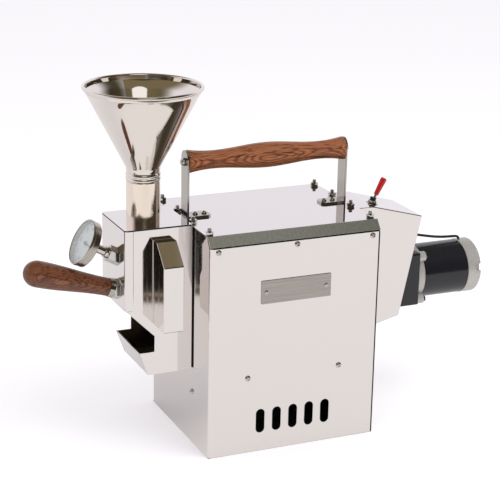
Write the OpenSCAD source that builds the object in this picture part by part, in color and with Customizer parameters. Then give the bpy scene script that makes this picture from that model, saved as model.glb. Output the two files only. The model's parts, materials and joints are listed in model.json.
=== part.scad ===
// Home coffee bean roaster: a motor-driven perforated drum in a folded stainless case that stands
// over a burner. Millimetres, +Z up. The origin is on the surface it stands on, under the middle
// of its length. -X is the front, where the beans go in and come out, and +X is the motor's end.

/* [Case] */
// Length of the case between its front wall and its rear plate
case_l = 172; // [165:1:190]
// Width of the case over its two side walls
case_w = 148; // [140:1:165]
// Height of the top cover above the table
case_h = 214.4; // [208:0.2:225]
// Distance from the origin to the middle of the case, towards the motor
case_x = 5.7; // [0:0.1:12]
// Thickness of the folded stainless sheet
sheet = 1.2; // [0.8:0.1:1.5]
// Width of the flanges turned inwards at the edges of the case
flange_w = 12; // [10:0.5:14]
// Bend radius of the case's two front corners
corner_r = 3; // [2:0.5:5]
// Height of the sloping edge strip of the top cover
strip_h = 8.9; // [7:0.1:11]
// How far the sloping edge strip comes in from the side wall
strip_in = 7.3; // [6:0.1:9]
// Open seam between the side wall and the top cover
seam = 1; // [0.5:0.1:1.5]

/* [Air slots and name plate] */
// Number of air slots in each side wall
slot_n = 5; // [3:1:7]
// Distance between neighbouring air slots
slot_pitch = 16.8; // [14:0.2:19]
// Width of an air slot, which has round ends
slot_w = 9; // [7:0.5:10]
// Height of an air slot
slot_h = 24; // [18:1:30]
// Height of the middle of the air slots
slot_z = 30.5; // [26:0.5:36]
// Length of the bare name plate
plate_l = 71; // [60:1:80]
// Height of the bare name plate
plate_h = 22.5; // [18:0.5:26]
// Height of the middle of the name plate
plate_z = 158; // [150:1:165]
// Thickness of the name plate
plate_t = 0.8; // [0.5:0.1:1.2]

/* [Screws and nuts] */
// Radius of a case screw's head
screw_head_r = 2.8; // [2.4:0.1:3.2]
// Height of a case screw's head
screw_head_h = 1.9; // [1.4:0.1:2.4]
// Radius of a case screw's thread
screw_r = 1.5; // [1.2:0.1:1.7]
// Radius of a top cover stud
stud_r = 2; // [1.5:0.1:2.3]
// Radius of a top cover nut over its corners
nut_r = 4; // [3.6:0.1:4.4]
// Height of a top cover nut
nut_h = 3.2; // [2.4:0.1:4]
// Distance between neighbouring studs across the case
stud_pitch = 40; // [36:0.1:40.5]

/* [Carrying handle] */
// Height of the grip's axis above the top cover
grip_up = 53.1; // [42:0.1:65]
// Distance from the end of the case to the middle of a handle leg
leg_in = 4.5; // [3.5:0.5:6]
// Width of a handle leg across the case
leg_w = 16; // [14:0.5:20]
// Thickness of a handle leg
leg_t = 2; // [1.5:0.1:3]
// Length of the foot that each leg turns inwards
foot_l = 24; // [22:0.5:28]
// Radius of the grip at its ends
grip_end_r = 11; // [10:0.25:12.5]
// Radius of the grip at its two waists
grip_waist_r = 8.6; // [8:0.2:10]
// Radius of the grip at its middle
grip_mid_r = 12; // [10.5:0.25:13]
// Radius of the tie rod through the grip
rod_r = 2.5; // [2:0.1:3]

/* [Front chamber] */
// Length of the front chamber ahead of the case
chamber_l = 66.5; // [62:0.5:72]
// Width of the front chamber
chamber_w = 66; // [62:0.5:72]
// Height of the front chamber's lid above the table
chamber_h = 217.2; // [215:0.2:224]
// Height at which the chamber's front turns back into the slope
knee_z = 140; // [136:0.5:142]
// Height of the slope's lower edge above the chute
slope_z = 113; // [110:0.5:116]
// Distance from the case to the chute's mouth
mouth_l = 38; // [34:0.5:42]
// Height of the tray's lip
lip_z = 97.5; // [94:0.5:100]
// Length of the tray at its lip
tray_lip_l = 53; // [48:0.5:58]
// Length of the tray at its bottom
tray_foot_l = 44.5; // [40:0.5:47]
// Height of the tray's bottom
tray_z = 75; // [73:0.5:77]
// Bend radius of the chamber's front corners
chamber_r = 2.6; // [2:0.2:4]
// Thickness of the black gasket between the chamber and the case
gasket_t = 1.2; // [0.8:0.1:2]

/* [Gate and its pull] */
// Travel of the discharge gate
gate_travel = 22; // [18:1:22]
// Thickness of the gate
gate_t = 1.5; // [1:0.1:1.8]
// Distance from the case to the near edge of the pull
pull_near = 20; // [18:0.5:24]
// Width of the pull along the chamber
pull_w = 19.5; // [17:0.5:22]
// How far the pull stands out from the chamber
pull_d = 28; // [24:0.5:32]
// Height of the pull's open lower edge
pull_z = 125.5; // [122:0.5:128]
// Height of the pull
pull_h = 80.5; // [74:0.5:84]
// Depth of the level top of the pull
pull_top_d = 9.5; // [7:0.5:12]

/* [Hopper tube and funnel] */
// Distance from the case to the axis of the hopper tube
hopper_l = 37; // [34:0.5:40]
// Outer radius of the hopper tube
tube_r = 15.8; // [14:0.1:16.2]
// Wall of the hopper tube
tube_t = 1; // [0.8:0.1:1.2]
// Height of the hopper tube's top
tube_z = 254; // [245:1:262]
// Radius of the bead round the funnel's neck
bead_r = 16.2; // [15.8:0.1:18]
// Height of the funnel's neck up to the cone
neck_h = 12.5; // [10:0.5:16]
// Height of the funnel's cone
cone_h = 69; // [60:1:78]
// Radius of the funnel at the top of its cone
cone_r = 51.8; // [46:0.1:58]
// Height of the straight band under the funnel's rim
band_h = 5; // [4:0.5:8]
// Radius of the rolled rim's bead
rim_r = 1.7; // [1.2:0.1:2]
// Wall of the funnel
funnel_t = 0.8; // [0.6:0.1:1]
// Depth of the funnel's spout inside the tube
spout_h = 28; // [20:1:32]

/* [Thermometer] */
// Height at which the thermometer's axis meets the chamber's front
thermo_z = 187; // [184:0.5:190]
// Tilt of the thermometer's axis above level
thermo_tilt = 28; // [25:0.5:31]
// Radius of the thermometer's case
dial_r = 22; // [20:0.5:23]
// Depth of the thermometer's case
dial_d = 9; // [8:0.5:11]
// Distance from the chamber to the back of the dial, along the axis
dial_out = 29.5; // [27:0.5:33]
// Radius of the thermometer's stem
stem_r = 3; // [2:0.25:3.25]

/* [Sampler] */
// Height at which the sampler's axis meets the chamber's front
sampler_z = 156; // [154.5:0.5:157.5]
// Tilt of the sampler's axis above level
sampler_tilt = 17; // [15:0.5:18]
// Distance of the thermometer and the sampler from the middle of the chamber
port_y = 12; // [10:0.5:13]
// Radius of the sampler's rod and scoop
trier_r = 5; // [4:0.1:5]
// Length of the sampler's wooden grip
wood_l = 82.5; // [74:0.5:90]
// Radius of the wooden grip at its ferrule
wood_neck_r = 8.4; // [7.2:0.1:8.6]
// Largest radius of the wooden grip
wood_r = 12.2; // [10.5:0.1:12.6]
// Travel of the sampler until its scoop is clear of the chamber
sampler_travel = 110; // [90:1:125]

/* [Drum] */
// Height of the drum's and the motor's axis
axis_z = 133; // [131:0.5:135]
// Outer radius of the drum
drum_r = 55; // [50:0.5:57]
// Length of the bearing between the drum and the rear plate
bearing_l = 16.8; // [14.8:0.2:26.8]
// Wall of the drum
drum_t = 1; // [0.8:0.1:1.2]
// Radius of one perforation
hole_r = 2.5; // [1.5:0.1:3]
// Number of rings of perforations
hole_rings = 9; // [5:1:10]
// Number of perforations in a ring
holes_round = 16; // [10:1:18]
// Number of vanes in the drum
vane_n = 4; // [3:1:6]
// Height of a vane above the drum's wall
vane_h = 12; // [8:0.5:15]
// Turn of each vane round the drum over its length, in degrees
vane_turn = 50; // [20:5:80]
// Width of the ring at the drum's open front
ring_w = 8; // [6:0.5:10]
// Radius of the drum's shaft
shaft_r = 6; // [5:0.5:7]

/* [Motor] */
// Width and height of the gearbox
gearbox_w = 54; // [50:0.5:56]
// Length of the gearbox
gearbox_l = 47; // [42:0.5:52]
// Distance from the rear plate to the gearbox's face
motor_out = 25; // [23:0.5:28]
// Thickness of the motor's cast flange
motor_flange_t = 7; // [5:0.5:9]
// Radius of the motor's can
can_r = 27; // [25:0.5:28]
// Length of the motor's can
can_l = 50; // [44:1:56]
// Length of the motor's cast end cap
cap_l = 15; // [12:0.5:18]
// Radius of the motor's lead
lead_r = 1.4; // [1:0.1:1.6]

/* [Rear housing] */
// Distance from the gearbox's side to the outer face of the rear housing
housing_side = 3; // [2.5:0.1:5]
// Length of the rear housing at its top
housing_l = 70; // [67:0.5:74]
// Length of the rear housing at its bottom
housing_foot_l = 49; // [46:0.5:52]
// Length of the level part of the rear housing's top
housing_flat_l = 16; // [14:0.5:18]
// Height of the bottom of the rear housing's back
housing_z = 99; // [97:0.5:101]
// Height of the rear housing's bottom at the case
housing_root_z = 87; // [84:0.5:90]
// Drop of the sloping top over its length, in degrees
housing_tilt = 15; // [12:0.5:18]
// Distance from the rear plate to the toggle switch
toggle_l = 23; // [21:0.5:27]

/* [Hidden] */
$fn = 48;

// Gaps: between flat faces that slide, and round a thread or a turning shaft
slide_gap = 0.3;
thread_gap = 0.15;
run_gap = 0.05;
fit_gap = 0.02;
// Length that a cutter runs past the wall it opens
over = 1;

// Datum planes: outer faces of the front wall and the rear plate, and underside of the cover
xf = case_x - case_l / 2;
xr = case_x + case_l / 2;
cover_z = case_h - sheet;
side_h = case_h - strip_h - seam;

// Case screws: two rows on each side wall, one row down each edge of the rear plate
top_screw_z = side_h - 3.7;
top_screw_x = case_l / 2 - 8;
low_screw_z = 75.2;
low_screw_x = 47;
front_screw_z = 52;
front_screw_y = 32;
screw_shank = 4.5;
plate_screw_r = 1.2;
rear_screw_y = case_w / 2 - sheet - flange_w / 2;
rear_low_z = 12;
rear_top_z = side_h - 5.5;
rear_screw_z = [for (i = [0 : 3]) rear_low_z + (rear_top_z - rear_low_z) * i / 3];
side_spots = [
    [-top_screw_x, top_screw_z], [0, top_screw_z], [top_screw_x, top_screw_z],
    [-low_screw_x, low_screw_z], [low_screw_x, low_screw_z]
];

// Baffle under the drum: its drop below the low screws, its length past them and its holes
baffle_drop = 8;
baffle_past = 12;
baffle_pitch = [20, 16];
baffle_hole_r = 4;

// Openings in the front wall: beans go in through the upper one and out through the lower one
feed_w = 44;
feed_z0 = 129;
feed_z1 = 171;
exit_w = 46;
exit_h = 20;
exit_z0 = axis_z - drum_r + ring_w - 1;
exit_z1 = exit_z0 + exit_h;
exit_r = drum_r - 4;

// Front chamber, in lengths ahead of the case's front wall
in_w = chamber_w / 2 - sheet;
front_u = chamber_l;
knee_u = chamber_l - 1;
corner_leg = 8;
lid_z = chamber_h - sheet;
lid_groove = 0.6;
chute_w = 32;
chute_past = 6;
chute_side = 12;

// Gate: plate against the front wall, arm beside the near wall, tab under the pull
gate_u = gasket_t + 0.3;
gate_w = exit_w + 6;
gate_z0 = exit_z0 - 2;
gate_z1 = exit_z1 + 2;
guide_t = 1.2;
guide_base = 2.4;
guide_lip = 2.5;
arm_w = 6;
floor_u = gate_u + gate_t + guide_t + 2 * slide_gap;
tab_z0 = 139;
tab_h = 24;
pull_mid = pull_near + pull_w / 2;
gate_stud_r = 2;
gate_stud_z = [146, 156];
slot_run = gate_stud_r + slide_gap;

// Sampler and thermometer, measured along their own axes from the chamber's front
socket_l = 5;
ferrule_l = 4.6;
wood_s = socket_l + slide_gap + ferrule_l;
trier_l = 105;
hex_l = 11;
neck_r = 4.2;
stem_l = 50;
glass_t = 1.2;
bezel_w = 1.6;

// Drum, from its open front to its back: it fills what the bearing and the gaps leave it
front_gap = 1.3;
bearing_gap = 1.5;
drum_l = case_l - 2 * sheet - front_gap - bearing_gap - bearing_l;
drum_x = xf + sheet + front_gap;
drum_end = drum_x + drum_l;
back_t = 1.5;
hub_r = 14;
hub_l = 14;
bearing_r = 17;
bearing_flange_r = 25;
bearing_flange_t = 3;
bearing_x = drum_end + bearing_gap;
coupling_r = 9.5;
coupling_l = 19;
coupling_x = xr + 2;
shaft_end = coupling_x + coupling_l / 2 - 0.5;
motor_shaft_r = 4;
seat_depth = 9;

// Motor, from the gearbox's face to the end cap
bracket_t = 3;
bracket_past = 0.5;
housing_w = gearbox_w + 2 * housing_side;
gearbox_x = xr + motor_out;
flange_x = gearbox_x + gearbox_l;
can_x = flange_x + motor_flange_t;
cap_x = can_x + can_l;
post_spread = 19;
post_r = 4;
ear_r = 5;
ear_screw_r = 1.6;

// Carrying handle
grip_z = case_h + grip_up;
leg_x = case_l / 2 - leg_in;
grip_l = 2 * leg_x - leg_t;
foot_screws_in = [10, 19];
leg_rise = 3;
rod_nut_r = rod_r + 1.8;
rod_nut_h = 2.4;
dome_h = 1.8;
rod_past = 3;

// Toggle switch, on the sloping top of the rear housing
toggle_x = xr + toggle_l;
toggle_y = -12;
toggle_z = case_h - (toggle_l - housing_flat_l) * tan(housing_tilt);
toggle_bush_r = 3;
bat_pivot = 1.2;
bat_throw = 13;
bat_r = 1.5;

// Route of the motor's lead, from the grommet to the end cap
lead_z = 173;
lead_in = 2.4;
lead_x = xr + housing_foot_l + (housing_l - housing_foot_l) * (lead_z - housing_z)
    / (case_h - (housing_l - housing_flat_l) * tan(housing_tilt) - housing_z);
lead_route = [
    [lead_x - 4, lead_z], [lead_x + 2, lead_z], [lead_x + 8, lead_z - 0.6],
    [lead_x + 18, lead_z - 2.4], [lead_x + 28, lead_z - 4.6], [lead_x + 38, lead_z - 6.6],
    [lead_x + 48, lead_z - 7.9], [lead_x + 56, lead_z - 8.3], [cap_x + lead_in - 3.2, lead_z - 8.6],
    [cap_x + lead_in - 0.8, axis_z + can_r + 3.4], [cap_x + lead_in, axis_z + can_r + 0.6]
];

// ---- shared shapes ----

// Rectangle from x0 to x1 and y0 to y1, with round corners of radius r
module round_rect(x0, x1, y0, y1, r) {
    translate([x0 + r, y0]) square([x1 - x0 - 2 * r, y1 - y0]);
    translate([x0, y0 + r]) square([x1 - x0, y1 - y0 - 2 * r]);
    for (x = [x0 + r, x1 - r], y = [y0 + r, y1 - r])
        translate([x, y]) circle(r);
}

// Slab of an outline drawn in X and Z, from y0 to y1
module slab_y(y0, y1) {
    translate([0, y1, 0]) rotate([90, 0, 0]) linear_extrude(y1 - y0) children();
}

// Slab of an outline drawn in Y and Z, from x0 to x1
module slab_x(x0, x1) {
    translate([x0, 0, 0]) rotate([90, 0, 90]) linear_extrude(x1 - x0) children();
}

// Round bar along X, from x0 to x1
module bar_x(x0, x1, r) {
    translate([x0, 0, 0]) rotate([0, 90, 0]) cylinder(r = r, h = x1 - x0);
}

// Box between two corners
module span(a, b) {
    translate(a) cube(b - a);
}

// Strip of sheet of thickness t along the line from p to q, on its left side
module strip(p, q, t) {
    d = (q - p) / norm(q - p);
    n = [-d[1], d[0]] * t;
    polygon([p, q, q + n, p + n]);
}

// The chamber's own frame: X counts forwards from the case's front wall
module ahead() {
    translate([xf, 0, 0]) mirror([1, 0, 0]) children();
}

// Frame on the chamber's front face whose Z is an axis tilted up and out of it
module port(z, tilt) {
    translate([xf - front_u, -port_y, z]) rotate([0, tilt - 90, 0]) children();
}

// Everything ahead of the chamber's front face
module outside_front() {
    span([xf - front_u - case_l, -case_w / 2, 0], [xf - front_u, case_w / 2, 2 * case_h]);
}

// Screw with its head standing on Z = 0 and its thread going down
module screw(head_r, head_h, thread_r, thread_l) {
    rotate_extrude() polygon([
        [0, -thread_l], [thread_r, -thread_l], [thread_r, 0], [head_r, 0],
        [head_r, head_h * 0.55], [head_r * 0.8, head_h * 0.92], [head_r * 0.45, head_h],
        [head_r * 0.45, head_h * 0.5], [0, head_h * 0.5]
    ]);
}

// Places on both side walls, with Z pointing out of the wall
module each_side_spot() {
    for (s = [-1, 1], p = side_spots)
        translate([case_x + p[0], s * case_w / 2, p[1]]) rotate([-s * 90, 0, 0]) children();
}

// Places on the rear plate, with Z pointing out of it
module each_rear_spot() {
    for (s = [-1, 1], z = rear_screw_z)
        translate([xr, s * rear_screw_y, z]) rotate([0, 90, 0]) children();
}

// Places low on the front wall, with Z pointing out of it
module each_front_spot() {
    for (s = [-1, 1])
        translate([xf, s * front_screw_y, front_screw_z]) rotate([0, -90, 0]) children();
}

// Places of the top cover's studs, in a row at each end
module each_stud() {
    for (x = [case_x - leg_x, case_x + leg_x], i = [-1.5, -0.5, 0.5, 1.5])
        translate([x, i * stud_pitch, cover_z]) children();
}

// ---- case ----

// Plan of the case: front wall, side walls and the flanges at the rear
module shell_plan() {
    difference() {
        union() {
            round_rect(xf, xr - sheet, -case_w / 2, case_w / 2, corner_r);
            translate([case_x, -case_w / 2]) square([case_l / 2 - sheet, case_w]);
        }
        shell_inside();
        translate([case_x, -case_w / 2 + sheet + flange_w])
            square([case_l, case_w - 2 * (sheet + flange_w)]);
    }
}

// Plan of the space inside the case's walls
module shell_inside() {
    r = corner_r - sheet;
    round_rect(xf + sheet, xr - 2 * sheet, -case_w / 2 + sheet, case_w / 2 - sheet, r);
    translate([case_x, -case_w / 2 + sheet]) square([case_l / 2 - 2 * sheet, case_w - 2 * sheet]);
}

// Outline of an end wall under the cover, in Y and Z
module end_outline(inset) {
    y = case_w / 2 - inset;
    yt = case_w / 2 - strip_in - sheet;
    polygon([
        [-y, 0], [y, 0], [y, side_h - sheet], [yt, cover_z - slide_gap],
        [-yt, cover_z - slide_gap], [-y, side_h - sheet]
    ]);
}

// Flange at the head of an end wall, under the cover
module head_flange(x0, x1) {
    y = 1.5 * stud_pitch + stud_r + 1.4;
    span([x0, -y, cover_z - sheet], [x1, y, cover_z]);
}

module case_shell() {
    color("gainsboro") difference() {
        union() {
            linear_extrude(side_h) shell_plan();
            slab_x(xf, xf + sheet) intersection() {
                end_outline(corner_r);
                translate([-case_w, side_h - over]) square([2 * case_w, case_h]);
            }
            head_flange(xf, xf + flange_w);
            linear_extrude(sheet) difference() {
                shell_inside();
                span2([xf + flange_w, -case_w / 2 + flange_w], [xr, case_w / 2 - flange_w]);
            }
        }
        slab_x(xf - over, xf + sheet + over) feed_window();
        slab_x(xf - over, xf + sheet + over) exit_window();
        for (i = [0 : slot_n - 1])
            slab_y(-case_w, case_w) air_slot(case_x + (i - (slot_n - 1) / 2) * slot_pitch);
        each_side_spot() translate([0, 0, -sheet - over])
            cylinder(r = screw_r + thread_gap, h = sheet + 2 * over);
        each_front_spot() translate([0, 0, -sheet - over])
            cylinder(r = screw_r + thread_gap, h = sheet + 2 * over);
        each_rear_spot() translate([0, 0, -3 * sheet])
            cylinder(r = screw_r + thread_gap, h = 3 * sheet);
        each_stud() translate([0, 0, -sheet - over])
            cylinder(r = stud_r + fit_gap, h = sheet + 2 * over);
    }
}

// Rectangle between two corners, in plan
module span2(a, b) {
    translate(a) square(b - a);
}

// One upright slot with round ends, in X and Z
module air_slot(x) {
    round_rect(x - slot_w / 2, x + slot_w / 2, slot_z - slot_h / 2, slot_z + slot_h / 2,
        slot_w / 2 - 0.01);
}

module feed_window() {
    round_rect(-feed_w / 2, feed_w / 2, feed_z0, feed_z1, 3);
}

// The lower window follows the drum's round bottom
module exit_window() {
    intersection() {
        span2([-exit_w / 2, exit_z0], [exit_w / 2, exit_z1]);
        translate([0, axis_z]) circle(exit_r);
    }
}

module rear_plate() {
    color("silver") difference() {
        union() {
            slab_x(xr - sheet, xr) end_outline(0.6);
            head_flange(xr - flange_w, xr - slide_gap);
        }
        bar_at_axis(xr - sheet - over, xr + over, shaft_r + 2);
        each_rear_spot() translate([0, 0, -2 * sheet]) cylinder(r = screw_r + fit_gap, h = 3 * sheet);
        each_stud() translate([0, 0, -sheet - over])
            cylinder(r = stud_r + fit_gap, h = sheet + 2 * over);
    }
}

// Round bar on the drum's axis, from x0 to x1
module bar_at_axis(x0, x1, r) {
    translate([0, 0, axis_z]) bar_x(x0, x1, r);
}

// The cover is bent along its two long edges
module cover_outline() {
    y = case_w / 2;
    yt = case_w / 2 - strip_in;
    z = case_h - strip_h;
    t = sheet * 1.2;
    polygon([
        [-yt, case_h], [yt, case_h], [y, z], [y - t, z], [yt - sheet / 2, cover_z],
        [-yt + sheet / 2, cover_z], [-y + t, z], [-y, z]
    ]);
}

module top_cover() {
    color("lavender") difference() {
        slab_x(xf, xr) cover_outline();
        each_stud() translate([0, 0, -over]) cylinder(r = stud_r + thread_gap, h = sheet + 2 * over);
        each_foot_spot() translate([0, 0, -leg_t - sheet - over])
            cylinder(r = screw_r + thread_gap, h = leg_t + sheet + 2 * over);
    }
}

module cover_studs() {
    below = sheet + 1.5;
    color("silver") each_stud() translate([0, 0, -below])
        cylinder(r = stud_r, h = below + sheet + nut_h + 3);
}

module cover_nuts() {
    color("silver") each_stud() translate([0, 0, sheet]) difference() {
        cylinder(r = nut_r, h = nut_h, $fn = 6);
        translate([0, 0, -over]) cylinder(r = stud_r + fit_gap, h = nut_h + 2 * over);
    }
}

module case_screws() {
    color("silver") {
        each_side_spot() screw(screw_head_r, screw_head_h, screw_r, screw_shank);
        each_rear_spot() screw(screw_head_r, screw_head_h, screw_r, screw_shank);
        each_front_spot() screw(screw_head_r, screw_head_h, screw_r, screw_shank);
    }
}

// Places of the name plate's two screws
module each_plate_spot() {
    for (s = [-1, 1])
        translate([case_x + s * (plate_l / 2 - 5), -case_w / 2 - plate_t, plate_z])
            rotate([90, 0, 0]) children();
}

module name_plate() {
    color("gray") difference() {
        slab_y(-case_w / 2 - plate_t, -case_w / 2)
            round_rect(case_x - plate_l / 2, case_x + plate_l / 2, plate_z - plate_h / 2,
                plate_z + plate_h / 2, 1);
        each_plate_spot() translate([0, 0, -plate_t - over])
            cylinder(r = plate_screw_r + fit_gap, h = plate_t + 2 * over);
    }
}

module name_plate_screws() {
    color("silver") each_plate_spot() screw(2, screw_head_h - plate_t - 0.1, plate_screw_r, plate_t);
}

// Perforated shelf that spreads the flame under the drum, hung on the four low side screws
module heat_baffle() {
    z = low_screw_z - baffle_drop;
    y = case_w / 2 - sheet;
    l = low_screw_x + baffle_past;
    color("dimgray") difference() {
        union() {
            span([case_x - l, -y, z], [case_x + l, y, z + sheet]);
            for (s = [0, 1]) mirror([0, s, 0])
                span([case_x - l, -y, z], [case_x + l, -y + sheet, z + 2 * baffle_drop]);
        }
        for (i = [-2 : 2], j = [-3 : 3])
            translate([case_x + i * baffle_pitch[0], j * baffle_pitch[1], z - over])
                cylinder(r = baffle_hole_r, h = sheet + 2 * over);
        each_side_spot() translate([0, 0, -screw_shank - over])
            cylinder(r = screw_r + fit_gap, h = screw_shank + over);
    }
}

// ---- carrying handle ----

// Places of the foot screws on top of the two feet
module each_foot_spot() {
    for (s = [-1, 1], d = foot_screws_in)
        translate([case_x + s * (leg_x - d), 0, case_h + leg_t]) children();
}

// Leg with its foot turned towards the middle, for the front end of the case
module handle_leg() {
    r = leg_w / 2;
    difference() {
        union() {
            slab_x(-leg_t / 2, leg_t / 2) {
                span2([-r, case_h], [r, grip_z + leg_rise]);
                translate([0, grip_z + leg_rise]) circle(r);
            }
            difference() {
                span([0, -r, case_h], [foot_l, r, case_h + leg_t]);
                translate([foot_l, -r - 3, 0]) rotate([0, 0, 45]) cube([9, 9, 600], center = true);
                translate([foot_l, r + 3, 0]) rotate([0, 0, 45]) cube([9, 9, 600], center = true);
            }
        }
        translate([0, 0, grip_z]) bar_x(-leg_t, leg_t, rod_r + fit_gap);
        for (d = foot_screws_in)
            translate([d, 0, case_h - over]) cylinder(r = screw_r + fit_gap, h = leg_t + 2 * over);
    }
}

module handle_leg_front() {
    color("silver") translate([case_x - leg_x, 0, 0]) handle_leg();
}

module handle_leg_rear() {
    color("silver") translate([case_x + leg_x, 0, 0]) mirror([1, 0, 0]) handle_leg();
}

// Radius of the turned grip at a place t from -1 to 1 along it
function grip_radius(t) =
    let (a = abs(t), w = 0.68)
    a < w
        ? grip_waist_r + (grip_mid_r - grip_waist_r) * (1 + cos(180 * a / w)) / 2
        : grip_waist_r + (grip_end_r - grip_waist_r) * pow((a - w) / (1 - w), 2);

module handle_grip() {
    n = 32;
    h = grip_l / 2;
    color("sienna") translate([case_x, 0, grip_z]) rotate([0, 90, 0]) rotate_extrude() polygon(concat(
        [for (i = [0 : n]) let (t = -1 + 2 * i / n) [grip_radius(t), t * h]],
        [[rod_r + thread_gap, h], [rod_r + thread_gap, -h]]
    ));
}

module handle_rod() {
    l = leg_x + leg_t / 2 + rod_past;
    color("silver") translate([case_x, 0, grip_z]) bar_x(-l, l, rod_r);
}

// Dome nuts on the ends of the tie rod
module handle_nuts() {
    color("silver") for (s = [-1, 1])
        translate([case_x + s * (leg_x + leg_t / 2), 0, grip_z]) rotate([0, s * 90, 0]) difference() {
            union() {
                cylinder(r = rod_nut_r, h = rod_nut_h, $fn = 6);
                translate([0, 0, rod_nut_h]) cylinder(r1 = rod_nut_r - 0.8, r2 = 1.6, h = dome_h);
            }
            translate([0, 0, -over]) cylinder(r = rod_r + fit_gap, h = rod_past + over);
        }
}

module foot_screws() {
    color("silver") each_foot_spot() screw(screw_head_r, screw_head_h, screw_r, leg_t + sheet + 2);
}

// ---- front chamber ----

// Side of the chamber and its tray, in lengths ahead of the case and heights
module chamber_outline() {
    polygon([
        [gasket_t, lid_z], [front_u, lid_z], [knee_u, knee_z], [mouth_l, slope_z],
        [mouth_l, lip_z], [tray_lip_l, lip_z], [tray_foot_l, tray_z], [gasket_t, tray_z]
    ]);
}

// Black gasket that sets the chamber off from the case, a little inside its edges
module chamber_gasket() {
    in = 1.8;
    color("black") ahead() slab_x(0, gasket_t) difference() {
        span2([-chamber_w / 2 + in, tray_z + in - 0.6], [chamber_w / 2 - in, cover_z - in]);
        span2([-in_w + 2.6, tray_z + 3], [in_w - 2.6, cover_z - in - 3]);
    }
}

// Side wall with its outer face at y = -chamber_w / 2
module chamber_side() {
    y = chamber_w / 2;
    slab_y(-y, -in_w) difference() {
        chamber_outline();
        translate([front_u - corner_leg, knee_z]) square([corner_leg + over, chamber_h]);
    }
}

module chamber_side_near() {
    color("mistyrose") ahead() difference() {
        chamber_side();
        slab_y(-chamber_w, 0) round_rect(pull_mid - slot_run, pull_mid + slot_run,
            gate_stud_z[0] - slot_run, gate_stud_z[1] + slot_run + gate_travel, slot_run - 0.01);
    }
}

module chamber_side_far() {
    color("mistyrose") ahead() mirror([0, 1, 0]) chamber_side();
}

// Bent front: the upright face wraps round to meet both sides, and the slope runs under it
module chamber_front() {
    u = front_u - corner_leg;
    color("thistle") difference() {
        union() {
            ahead() translate([0, 0, knee_z]) linear_extrude(lid_z - knee_z) difference() {
                intersection() {
                    round_rect(0, front_u, -chamber_w / 2, chamber_w / 2, chamber_r);
                    span2([u, -chamber_w], [front_u, chamber_w]);
                }
                round_rect(0, front_u - sheet, -in_w, in_w, chamber_r - sheet);
            }
            ahead() slab_y(-in_w, in_w)
                strip([mouth_l, slope_z], [knee_u, knee_z], sheet);
            ahead() slab_y(-in_w, in_w)
                polygon([[knee_u - sheet, knee_z], [knee_u, knee_z], [front_u, knee_z + 2],
                    [front_u - sheet, knee_z + 2], [knee_u - 2 * sheet, knee_z]]);
        }
        port(thermo_z, thermo_tilt) translate([0, 0, -8]) cylinder(r = neck_r, h = 14);
        port(sampler_z, sampler_tilt) translate([0, 0, -8]) cylinder(r = trier_r + 1, h = 14);
    }
}

module chamber_lid() {
    color("lavender") ahead() difference() {
        union() {
            translate([0, 0, lid_z + lid_groove]) linear_extrude(sheet - lid_groove)
                lid_plan(0);
            translate([0, 0, lid_z]) linear_extrude(lid_groove) lid_plan(lid_groove);
            span([gasket_t, -in_w + 0.5, lid_z - 4], [gasket_t + sheet, in_w - 0.5, lid_z]);
        }
        translate([hopper_l, 0, lid_z - over]) cylinder(r = tube_r - tube_t, h = sheet + 2 * over);
    }
}

// Plan of the lid, drawn in from its edges, square at the case and round at the front
module lid_plan(inset) {
    y = chamber_w / 2 - inset;
    round_rect(gasket_t + inset, front_u - inset, -y, y, chamber_r);
    span2([gasket_t + inset, -y], [front_u / 2, y]);
}

// Tray under the mouth: slanting front, level bottom and the floor that slopes towards the lip
module chute_tray() {
    color("gainsboro") ahead() slab_y(-in_w, in_w) {
        strip([tray_foot_l, tray_z], [tray_lip_l, lip_z], sheet);
        strip([gasket_t, tray_z], [tray_foot_l, tray_z], sheet);
        strip([floor_u, exit_z0 - 2], [tray_foot_l - 1, tray_z + 3], sheet);
        span2([floor_u, tray_z], [floor_u + sheet, exit_z0 - 0.8]);
    }
}

// Trough that leads the beans from the hopper through the upper window into the drum
module feed_chute() {
    w = chute_w / 2;
    p = [front_u - sheet, lid_z - 8];
    q = [-chute_past, feed_z0 + 19];
    tab_z = p[1] - 11.5;
    color("silver") ahead() {
        slab_y(-w, w) strip(q, p, sheet);
        for (s = [0, 1]) mirror([0, s, 0]) slab_y(-w, -w + sheet)
            polygon([p, p + [0, 3], p + [-w, 3], q + [0, chute_side], q]);
        for (s = [0, 1]) mirror([0, s, 0])
            span([p[0] - 12, -in_w, tab_z], [p[0] - 4, -w, tab_z + sheet]);
    }
}

// ---- discharge gate ----

// Channels on the front wall that hold the gate's two edges
module gate_guides() {
    y = gate_w / 2;
    y1 = y + slide_gap + guide_base;
    u = gate_u + gate_t + slide_gap;
    color("silver") ahead() for (side = [[0, gate_z1 + gate_travel], [1, gate_z1 - 1.5]])
        mirror([0, side[0], 0]) {
            span([0, y + slide_gap, gate_z0], [u, y1, side[1]]);
            span([u, y - guide_lip, gate_z0], [u + guide_t, y1, side[1]]);
        }
}

// Plate, arm and tab, folded from one piece
module discharge_gate() {
    y = -in_w + slide_gap + 0.2;
    u = pull_mid + 4.5;
    color("lightsteelblue") ahead() difference() {
        union() {
            span([gate_u, -gate_w / 2, gate_z0], [gate_u + gate_t, gate_w / 2, gate_z1]);
            span([gate_u, y, gate_z1 - 1], [gate_u + gate_t, -gate_w / 2 + arm_w, tab_z0 + tab_h]);
            span([gate_u, y, tab_z0], [u, y + gate_t, tab_z0 + tab_h]);
            span([gate_u, -gate_w / 2, gate_z1 - 3], [gate_u + gate_t, -gate_w / 2 + arm_w, gate_z1]);
        }
        for (z = gate_stud_z) translate([pull_mid, 0, z]) rotate([90, 0, 0])
            cylinder(r = gate_stud_r + fit_gap, h = chamber_w);
    }
}

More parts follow.
